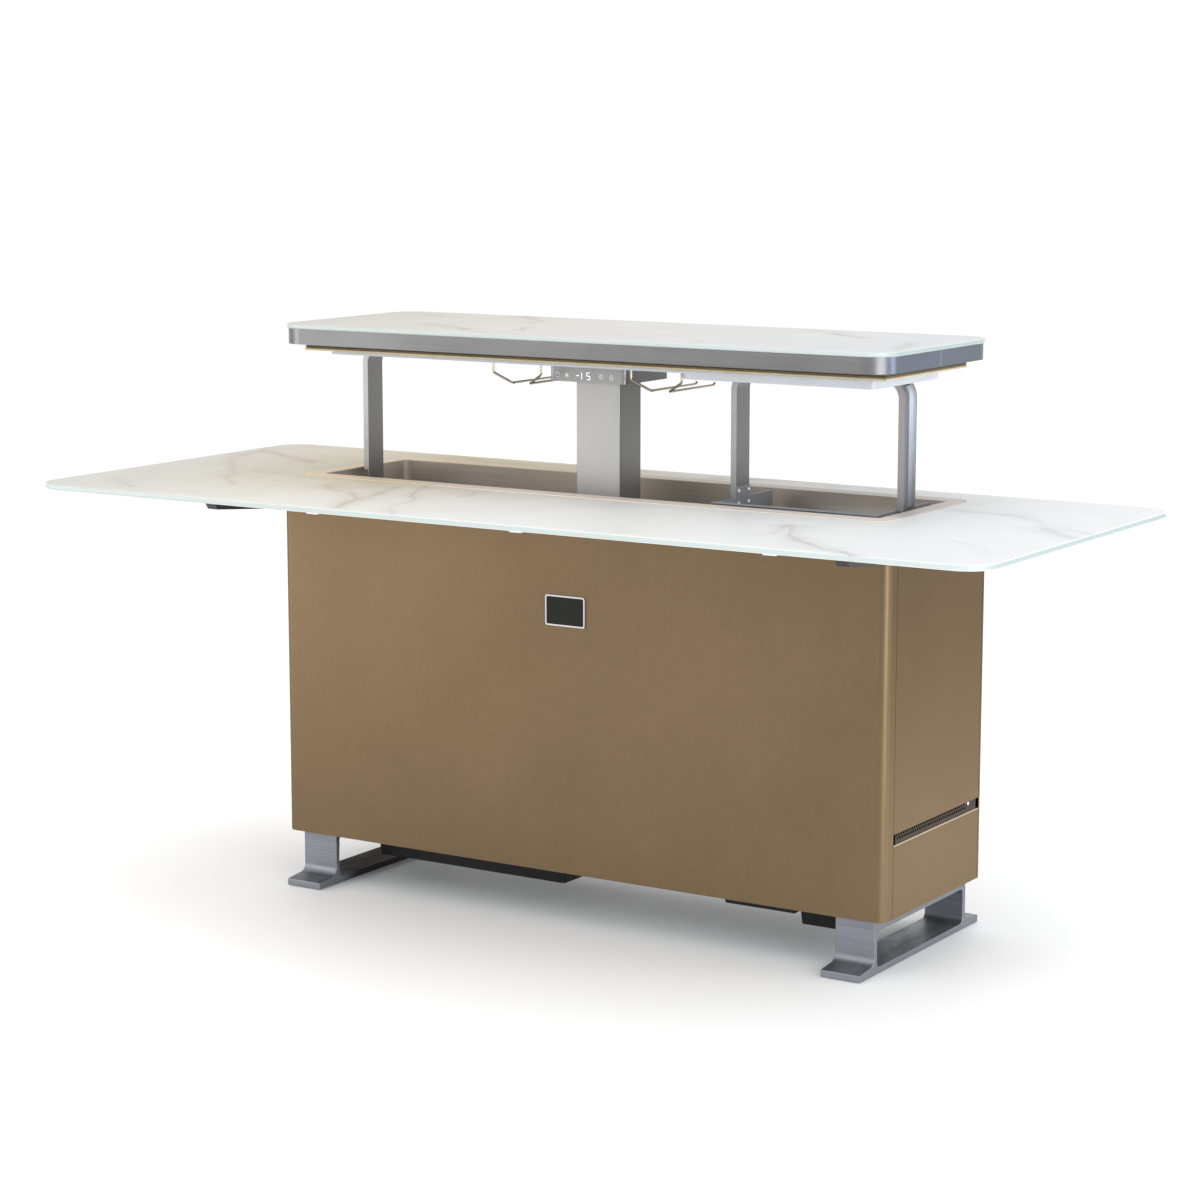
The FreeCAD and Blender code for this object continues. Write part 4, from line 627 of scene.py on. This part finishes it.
# Which material each record slot shows
looks = {
    "champagne_trim": trim_metal("trim satin"),
    "champagne_panel": champagne_panel("panel paint", (0.200, 0.140, 0.081), (0.151, 0.105, 0.059), 0.40),
    # Vent strip painted dark as shade in its slot, with painted shade in its holes
    "vent_steel": moulded("vent paint in painted shade", (0.062, 0.044, 0.030), (0.044, 0.031, 0.021), 0.55, 500.0, 0.08,
                          metallic=0.3, specular=0.25, wall_shade=(0.006, 0.005, 0.004)),
    "frame_steel": moulded("frame paint", (0.048, 0.048, 0.051), (0.025, 0.025, 0.027), 0.5, 700.0, 0.15,
                           metallic=0.2),
    "base_steel": moulded("base paint", (0.16, 0.16, 0.16), (0.10, 0.10, 0.10), 0.55, 600.0, 0.12,
                          metallic=0.3),
    "foot_alloy": foot_metal("foot alloy"),
    "pad_rubber": moulded("pad rubber", (0.045, 0.045, 0.045), (0.02, 0.02, 0.02), 0.8, 900.0, 0.25),
    "clear_pad": moulded("clear pad", (0.80, 0.82, 0.84), (0.68, 0.70, 0.72), 0.35, 300.0, 0.05),
    "zinc": brushed("zinc", (0.50, 0.50, 0.50), (0.36, 0.36, 0.36), EVEN, 0.35),
    "bezel_chrome": brushed("bezel chrome", (0.62, 0.62, 0.63), (0.50, 0.50, 0.51), LENGTHWISE, 0.12,
                            strength=0.01),
    "black_gloss": moulded("badge black", (0.012, 0.011, 0.010), (0.006, 0.006, 0.006), 0.50, 500.0, 0.03,
                           specular=0.2),
    "tank_steel": tank_metal("tank steel", (0.535, 0.472, 0.402), (0.440, 0.384, 0.325)),
    "foam": moulded("foam", (0.82, 0.74, 0.52), (0.68, 0.59, 0.38), 0.95, 260.0, 0.6),
    "cooling_alloy": brushed("fin alloy", (0.60, 0.60, 0.60), (0.46, 0.46, 0.46), LEVEL, 0.35),
    "machine_black": moulded("machine black", (0.035, 0.035, 0.036), (0.018, 0.018, 0.018), 0.38, 300.0, 0.2,
                             metallic=0.1, coat=0.3),
    "black_plastic": moulded("black plastic", (0.011, 0.011, 0.013), (0.005, 0.005, 0.006), 0.50, 900.0, 0.2,
                             specular=0.2),
    "copper": brushed("copper", (0.80, 0.42, 0.27), (0.62, 0.30, 0.18), (300.0, 300.0, 300.0), 0.32),
    # Column: painted shade on its faces along X and a painted reflection at its lower end
    "column_steel": brushed("column steel", (0.405, 0.401, 0.395), (0.352, 0.348, 0.343), VERTICAL, 0.36,
                            metallic=0.6, side_shading=(0.142, 0.138, 0.133), rise=COLUMN_LIT_FOOT_Z),
    "glide_plastic": moulded("glide plastic", (0.80, 0.80, 0.78), (0.70, 0.70, 0.67), 0.5, 600.0, 0.1),
    "screw_steel": brushed("spindle steel", (0.50, 0.50, 0.50), (0.36, 0.36, 0.36), (4.0, 4.0, 1300.0), 0.22),
    # Head: painted shade on its faces along X
    "head_steel": brushed("head steel", (0.295, 0.293, 0.290), (0.230, 0.229, 0.227), LENGTHWISE, 0.36,
                          side_shading=(0.135, 0.133, 0.132)),
    "board_green": moulded("board green", (0.05, 0.22, 0.10), (0.03, 0.13, 0.06), 0.5, 500.0, 0.2),
    # Rim: its ends along X painted darker and bluish, as shade and reflected blue window light
    "rim_steel": brushed("rim steel", (0.205, 0.203, 0.206), (0.163, 0.161, 0.164), LEVEL, 0.34,
                         side_shading=(0.161, 0.184, 0.227)),
    "liner_white": moulded("liner white", (0.600, 0.627, 0.658), (0.545, 0.570, 0.602), 0.35, 300.0, 0.04,
                           coat=0.2),
    # The gasket's upper rib is painted dark as shade under the rim
    "gasket_gold": moulded("gasket gold", (0.72, 0.61, 0.40), (0.60, 0.49, 0.29), 0.38, 700.0, 0.06,
                           metallic=0.35, coat=0.2, rib=(0.150, 0.115, 0.062)),
    "gasket_dark": moulded("gasket dark", (0.130, 0.100, 0.050), (0.085, 0.065, 0.033), 0.6, 700.0, 0.1),
    # Straps: painted shade on their faces along X
    "strap_steel": brushed("strap steel", (0.395, 0.39, 0.38), (0.33, 0.325, 0.317), VERTICAL, 0.33,
                           metallic=0.6, side_shading=(0.195, 0.190, 0.188)),
    "rack_chrome": brushed("rack chrome", (0.48, 0.43, 0.35), (0.34, 0.30, 0.24), LENGTHWISE, 0.16,
                           strength=0.01),
}

# Nodes whose look differs from that of their slot
node_looks = {
    "table_top": marble_glass("table marble glass", TABLE_VEINS, (0.725, 0.722, 0.708), 1.0),
    "lid_glass": marble_glass("lid marble glass", LID_VEINS, (0.588, 0.587, 0.582), 0.35),
    # Right strap: a lit copy of the strap steel, its faces along X painted lighter and bluish as a reflection
    "strap_right": brushed("strap steel with painted reflection", (0.360, 0.340, 0.325), (0.300, 0.284, 0.272), VERTICAL, 0.33,
                           metallic=0.6, side_shading=(0.250, 0.255, 0.282)),
    "tray_frame": brushed("tray steel", (0.265, 0.270, 0.290), (0.210, 0.215, 0.232), LEVEL, 0.40,
                          metallic=0.3, strength=0.04),
    "foot_left": foot_metal("foot alloy in shade", shaded=True),
    "condenser": moulded("coil black", (0.030, 0.030, 0.032), (0.016, 0.016, 0.017), 0.55, 400.0, 0.2,
                         metallic=0.2),
}

# Materials of the added pieces alone
digit_glow = glowing("display white", (0.93, 0.97, 1.0), DIGIT_GLOW)
mark_glow = glowing("mark white", (0.85, 0.88, 0.90), ICON_GLOW)
seam_light = brushed("seam light", (0.62, 0.62, 0.63), (0.50, 0.50, 0.51), VERTICAL, 0.3)
# Inner bends of the right strap, painted bright and bluish as a highlight
bend_highlight_steel = brushed("bend steel with painted highlight", (0.515, 0.548, 0.588), (0.450, 0.483, 0.522), VERTICAL, 0.50,
                     metallic=0.25)
bright_zinc = brushed("bright zinc", (0.90, 0.90, 0.90), (0.76, 0.76, 0.76), EVEN, 0.30, metallic=0.4)
# Rolled edges painted much lighter than the panel, as a highlight
fold_highlight_paint = brushed("fold paint with painted highlight", (0.54, 0.45, 0.34), (0.45, 0.37, 0.27), LENGTHWISE, 0.42, metallic=0.4)


def dress(obj, material):
    obj.data.materials.clear()
    obj.data.materials.append(material)


for part in frame["record"]["subparts"]:
    node = part["node"]
    dress(nodes[node], node_looks.get(node) or looks[part["material_slot"]])


def mesh_of(name, build):
    """A mesh made by a function that fills a bmesh."""
    bm = bmesh.new()
    build(bm)
    bmesh.ops.recalc_face_normals(bm, faces=bm.faces)
    mesh = bpy.data.meshes.new(name)
    bm.to_mesh(mesh)
    bm.free()
    return mesh


def new_piece(name, build, material, body, smooth=False):
    mesh = mesh_of(name, build)
    for face in mesh.polygons:
        face.use_smooth = smooth
    obj = bpy.data.objects.new(name, mesh)
    bpy.context.scene.collection.objects.link(obj)
    dress(obj, material)
    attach(obj, body)
    return obj


def bridge(bm, first, second):
    """Faces between two closed rings of points."""
    for i in range(len(first)):
        j = (i + 1) % len(first)
        bm.faces.new((first[i], first[j], second[j], second[i]))


def add_prism(bm, outline, lift):
    """A closed prism on an outline of points, raised along lift."""
    low = [bm.verts.new(p) for p in outline]
    high = [bm.verts.new(Vector(p) + lift) for p in outline]
    bm.faces.new(low)
    bm.faces.new(high)
    bridge(bm, low, high)


# Display: digits and touch marks on the front of the head
def head_point(x, z):
    return Vector((x, HEAD_FACE_Y + MARK_SINK, z))


def bar(bm, start, end, width):
    """A stroke with pointed ends between two points of the head's face."""
    a = Vector(start)
    b = Vector(end)
    heading = (b - a).normalized()
    side = Vector((-heading.y, heading.x)) * width / 2
    tip = heading * width / 2
    corners = (a - tip, a + side, b + side, b + tip, b - side, a - side)
    add_prism(bm, [head_point(c.x, c.y) for c in corners], Vector((0, -MARK_RISE, 0)))


def digit_bars(left, names):
    """Ends of the named segments of a digit that begins at left."""
    right = left + DIGIT_WIDTH
    top = DIGIT_Z + DIGIT_HEIGHT / 2
    low = DIGIT_Z - DIGIT_HEIGHT / 2
    spots = {
        "a": ((left, top), (right, top)),
        "b": ((right, top), (right, DIGIT_Z)),
        "c": ((right, DIGIT_Z), (right, low)),
        "d": ((left, low), (right, low)),
        "f": ((left, top), (left, DIGIT_Z)),
        "g": ((left, DIGIT_Z), (right, DIGIT_Z)),
    }
    for name in names:
        start, end = (Vector(p) for p in spots[name])
        inset = (end - start).normalized() * DIGIT_GAP
        yield start + inset, end - inset


def build_digits(bm):
    half = DIGIT_WIDTH / 2
    bar(bm, (DIGIT_DASH_X - half, DIGIT_Z), (DIGIT_DASH_X + half, DIGIT_Z), DIGIT_STROKE)
    for x, names in zip(DIGIT_X, DIGIT_SEGMENTS):
        for start, end in digit_bars(x, names):
            bar(bm, start, end, DIGIT_STROKE)


def arc_points(x, z, radius, first, last, steps):
    turn = math.radians(last - first)
    begin = math.radians(first)
    angles = [begin + turn * i / steps for i in range(steps + 1)]
    return [(x + radius * math.cos(angle), z + radius * math.sin(angle)) for angle in angles]


def stroke(bm, points):
    for start, end in zip(points, points[1:]):
        bar(bm, start, end, ICON_STROKE)


def spoke(x, angle, reaches):
    """Points on a ray from the middle of a mark."""
    return [(x + reach * math.cos(angle), ICON_Z + reach * math.sin(angle)) for reach in reaches]


def build_icons(bm):
    power, cold, lamp, lock = ICON_X
    r = ICON_SIZE / 2
    stroke(bm, arc_points(power, ICON_Z, r, *POWER_ARC, POWER_STEPS))
    stroke(bm, [(power, ICON_Z + r * share) for share in POWER_STEM])
    for i in range(COLD_ARMS):
        stroke(bm, spoke(cold, math.radians(180 / COLD_ARMS * i + COLD_TILT), (-r, r)))
    stroke(bm, arc_points(cold, ICON_Z, r * COLD_HUB, 0, 360, COLD_HUB_SIDES))
    stroke(bm, arc_points(lamp, ICON_Z, r * LAMP_BULB, 0, 360, LAMP_STEPS))
    for i in range(LAMP_RAYS):
        stroke(bm, spoke(lamp, math.radians(360 / LAMP_RAYS * i), [r * share for share in LAMP_RAY]))
    w = r * LOCK_HALF
    top = ICON_Z + r * LOCK_TOP
    low = ICON_Z + r * LOCK_FOOT
    stroke(bm, [(lock - w, low), (lock - w, top), (lock + w, top), (lock + w, low), (lock - w, low)])
    bow = arc_points(lock, top + r * LOCK_BOW_RISE, w * LOCK_BOW, 180, 0, LOCK_STEPS)
    stroke(bm, [(lock - w * LOCK_BOW, top)] + bow + [(lock + w * LOCK_BOW, top)])


new_piece("display_digits", build_digits, digit_glow, "lift")
new_piece("touch_marks", build_icons, mark_glow, "lift")


# Gasket: a bead with a groove and a rib above it, mitred at the corners
def sweep_ring(bm, profile, low, high):
    """Carry a profile of (outward, height) points around a rectangle with mitred corners."""
    corners = ((low[0], low[1], -1, -1), (high[0], low[1], 1, -1), (high[0], high[1], 1, 1),
               (low[0], high[1], -1, 1))
    rings = []
    for x, y, sx, sy in corners:
        rings.append([bm.verts.new((x + sx * out, y + sy * out, z)) for out, z in profile])
    for i in range(len(rings)):
        bridge(bm, rings[i], rings[(i + 1) % len(rings)])


def oval_points(out, z, reach, rise, first, turn, steps):
    """Points on part of an oval about a place of the section."""
    angles = [math.radians(first + turn * i / steps) for i in range(steps + 1)]
    return [(out + reach * math.cos(angle), z + rise * math.sin(angle)) for angle in angles]


def bead_profile():
    """Rounded bead, a groove and a rib above it; outward is measured from the outer edge."""
    z0 = GASKET_LOW[2]
    h = GASKET_HEIGHT
    lower = h * BEAD_RISE
    points = oval_points(-BEAD_ROUND, z0 + lower, BEAD_ROUND, lower, -90, 180, BEAD_STEPS)
    points.append((-GROOVE_INSET, z0 + h * GROOVE_RISE))
    points += oval_points(-GROOVE_INSET, z0 + h * RIB_RISE, RIB_ROUND, h * RIB_HALF, -RIB_ARC / 2, RIB_ARC,
                          RIB_STEPS)
    points.append((-CREST_INSET, z0 + h))
    points.append((-GASKET_WIDTH + CREST_INSET, z0 + h))
    points += oval_points(-GASKET_WIDTH + BEAD_ROUND, z0 + lower, BEAD_ROUND, lower, 90, 180, BEAD_STEPS)
    return points


def build_gasket(bm):
    sweep_ring(bm, bead_profile(), GASKET_LOW, GASKET_HIGH)


gasket = new_piece("gasket_bead", build_gasket, looks["gasket_gold"], "lift")
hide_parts("lid_gasket")


# Seam of the rim on its right end
def build_seam(bm):
    low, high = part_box("lid_rim")
    x = high[0] - RIM_SEAM_SINK
    near = RIM_SEAM_Y - RIM_SEAM_WIDTH / 2
    far = RIM_SEAM_Y + RIM_SEAM_WIDTH / 2
    foot = low[2] + RIM_SEAM_INSET
    head = high[2] - RIM_SEAM_INSET
    outline = [(x, near, foot), (x, far, foot), (x, far, head), (x, near, head)]
    add_prism(bm, outline, Vector((RIM_SEAM_RISE, 0, 0)))


new_piece("rim_seam", build_seam, seam_light, "lift")


# Rounded inner corners of the right strap, which is open to the outside
def bend_profile():
    """Section of one corner: distance from the web and from the side wall."""
    profile = [(0.0, 0.0)]
    for i in range(STRAP_ROUND_STEPS + 1):
        angle = math.radians(90 * i / STRAP_ROUND_STEPS)
        profile.append((STRAP_ROUND * (1 - math.sin(angle)), STRAP_ROUND * (1 - math.cos(angle))))
    return profile


def build_inner_bends(bm):
    low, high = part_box("strap_right")
    web = high[0] - STRAP_DEPTH + STRAP_SHEET
    pivot = web - STRAP_SHEET - STRAP_BEND
    shoulder = high[2] - STRAP_BEND_RISE
    stations = [(0.0, low[2] + STRAP_TAB)]
    stations += [(math.radians(STRAP_BEND_STEP * i), shoulder) for i in range(STRAP_BEND_COUNT)]
    for side, wall in ((1, high[1] - STRAP_SHEET), (-1, low[1] + STRAP_SHEET)):
        rings = []
        for turn, z in stations:
            ring = []
            for out, inward in bend_profile():
                reach = web + out - pivot
                spot = (pivot + reach * math.cos(turn), wall - side * inward, z + reach * math.sin(turn))
                ring.append(bm.verts.new(spot))
            rings.append(ring)
        for first, second in zip(rings, rings[1:]):
            bridge(bm, first, second)
        bm.faces.new(rings[0])
        bm.faces.new(rings[-1])


new_piece("strap_inner_bends", build_inner_bends, bend_highlight_steel, "lift", smooth=True)


# Screw heads with a crossed recess
def add_screw(bm, centre, axis, radius, dome):
    """A domed head standing on centre along axis, with a cross cut into its crown."""
    axis = Vector(axis)
    side = Vector((0, 0, 1))
    other = axis.cross(side)

    def ring(reach, height):
        points = []
        for i in range(SCREW_STEPS):
            angle = 2 * math.pi * i / SCREW_STEPS
            spot = Vector(centre) + side * (reach * math.cos(angle)) + other * (reach * math.sin(angle))
            points.append(bm.verts.new(spot + axis * dome * height))
        return points

    rings = [ring(radius * r, h) for r, h in SCREW_PROFILE]
    for i in range(SCREW_STEPS):
        if abs(math.sin(4 * math.pi * i / SCREW_STEPS)) < SCREW_CROSS_WIDTH:
            rings[-1][i].co -= axis * dome * SCREW_CROSS_DEPTH
    rings.append(ring(radius * SCREW_PIT[0], SCREW_PIT[1]))
    bm.faces.new(list(reversed(rings[0])))
    for lower, upper in zip(rings, rings[1:]):
        bridge(bm, lower, upper)
    bm.faces.new(rings[-1])


def islands(mesh):
    """Lowest and highest corner of each separate lump of a mesh."""
    bm = bmesh.new()
    bm.from_mesh(mesh)
    bmesh.ops.remove_doubles(bm, verts=bm.verts, dist=WELD_REACH)
    seen = set()
    for vert in bm.verts:
        if vert.index in seen:
            continue
        stack = [vert]
        spots = []
        seen.add(vert.index)
        while stack:
            at = stack.pop()
            spots.append(at.co.copy())
            for edge in at.link_edges:
                near = edge.other_vert(at)
                if near.index not in seen:
                    seen.add(near.index)
                    stack.append(near)
        low = Vector([min(s[i] for s in spots) for i in range(3)])
        high = Vector([max(s[i] for s in spots) for i in range(3)])
        yield low, high
    bm.free()


def build_tray_screws(bm):
    tray_low, tray_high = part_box("tray_frame")
    for low, high in islands(nodes["tray_screws"].data):
        middle = (low + high) / 2
        to_right = middle.x < (tray_low[0] + tray_high[0]) / 2
        base = low.x if to_right else high.x
        add_screw(bm, (base, middle.y, middle.z), (1 if to_right else -1, 0, 0), SCREW_RADIUS, SCREW_DOME)


screws = new_piece("tray_screw_heads", build_tray_screws, bright_zinc, "lift")
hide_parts("tray_screws")


def build_vent_screws(bm):
    for side in (-1, 1):
        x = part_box("vent_grille_right")[1][0] if side > 0 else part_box("vent_grille_left")[0][0]
        add_screw(bm, (x, VENT_SCREW_Y, VENT_SCREW_Z), (side, 0, 0), VENT_SCREW_RADIUS, VENT_SCREW_DOME)


new_piece("vent_screw_heads", build_vent_screws, bright_zinc, "base")


# Rolled upper edges of the lower side panels
def build_folds(bm):
    for side, node in ((-1, "lower_panel_left"), (1, "lower_panel_right")):
        low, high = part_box(node)
        face = high[0] if side > 0 else low[0]
        crown = high[2] + FOLD_RISE
        foot = high[2] - FOLD_DROP
        profile = (
            (FOLD_PROUD * FOLD_FOOT_SHARE, foot),
            (FOLD_PROUD, (crown + foot) / 2),
            (FOLD_PROUD * FOLD_BROW_SHARE, high[2]),
            (-FOLD_DEPTH * FOLD_CREST_SHARE, crown),
            (-FOLD_DEPTH, crown),
            (-FOLD_DEPTH, foot),
        )
        outline = [(face + side * out, low[1] + FOLD_END_GAP, z) for out, z in profile]
        add_prism(bm, outline, Vector((0, high[1] - low[1] - 2 * FOLD_END_GAP, 0)))


new_piece("lower_panel_folds", build_folds, fold_highlight_paint, "base")


# Floor, light and camera
def floor_paint():
    s = Shader("floor")
    return s.finish(s.mix(s.noise(0.9, detail=2.0), *FLOOR_PAINT), 0.6)


def build_floor(bm):
    bmesh.ops.create_grid(bm, x_segments=2, y_segments=2, size=FLOOR_HALF)


floor = bpy.data.objects.new("floor", mesh_of("floor", build_floor))
bpy.context.scene.collection.objects.link(floor)
dress(floor, floor_paint())
floor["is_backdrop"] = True

world = bpy.data.worlds.new("studio")
bpy.context.scene.world = world
world.use_nodes = True
sky = world.node_tree.nodes["Background"]
sky.inputs["Color"].default_value = (1.0, 1.0, 1.0, 1.0)
sky.inputs["Strength"].default_value = SKY_STRENGTH
bpy.context.scene.view_settings.view_transform = "Standard"


def soft_box(name, place, target, width, height, power, tint=(1.0, 1.0, 1.0)):
    lamp = bpy.data.lights.new(name, "AREA")
    lamp.shape = "RECTANGLE"
    lamp.size = width
    lamp.size_y = height
    lamp.energy = power
    lamp.color = tint
    obj = bpy.data.objects.new(name, lamp)
    obj.location = place
    obj.rotation_euler = (Vector(target) - Vector(place)).to_track_quat("-Z", "Y").to_euler()
    obj.visible_camera = False
    bpy.context.scene.collection.objects.link(obj)


soft_box("key", (-2.6, -4.6, 2.6), (0.0, 0.0, 0.55), 3.2, 2.4, 30.0)
soft_box("top", (0.2, -0.6, 4.2), (0.0, 0.1, 0.7), 4.0, 3.0, 30.0)
soft_box("window", (4.0, -2.2, 1.0), (0.6, -0.1, 0.5), 2.6, 1.9, 58.0, (0.86, 0.93, 1.0))
soft_box("right window", (4.3, 1.4, 1.2), (0.6, 0.0, 0.6), 1.4, 2.2, 32.0, (0.84, 0.92, 1.0))
soft_box("low right", (2.6, -1.3, 0.30), (0.6, -0.05, 0.2), 1.5, 0.5, 6.0)
soft_box("low left", (-3.7, -2.6, 0.8), (-0.3, 0.0, 0.5), 2.0, 1.6, 26.0)

azimuth = math.radians(CAMERA_AZIMUTH)
pitch = math.radians(CAMERA_PITCH)
back = Vector((math.sin(azimuth) * math.cos(pitch), -math.cos(azimuth) * math.cos(pitch), math.sin(pitch)))
right = Vector((math.cos(azimuth), math.sin(azimuth), 0.0))
above = back.cross(right)
lens = bpy.data.cameras.new("camera")
lens.lens = CAMERA_LENS
lens.sensor_width = CAMERA_SENSOR
lens.clip_end = CAMERA_REACH
camera = bpy.data.objects.new("camera", lens)
turn = Matrix((right, above, back)).transposed().to_4x4()
camera.matrix_world = Matrix.Translation(Vector(CAMERA_PLACE)) @ turn
bpy.context.scene.collection.objects.link(camera)
bpy.context.scene.camera = camera

boxes = {"cad": cad_box, "visual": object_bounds()}
{name: [list(map(float, p)) for p in box] for name, box in boxes.items()}
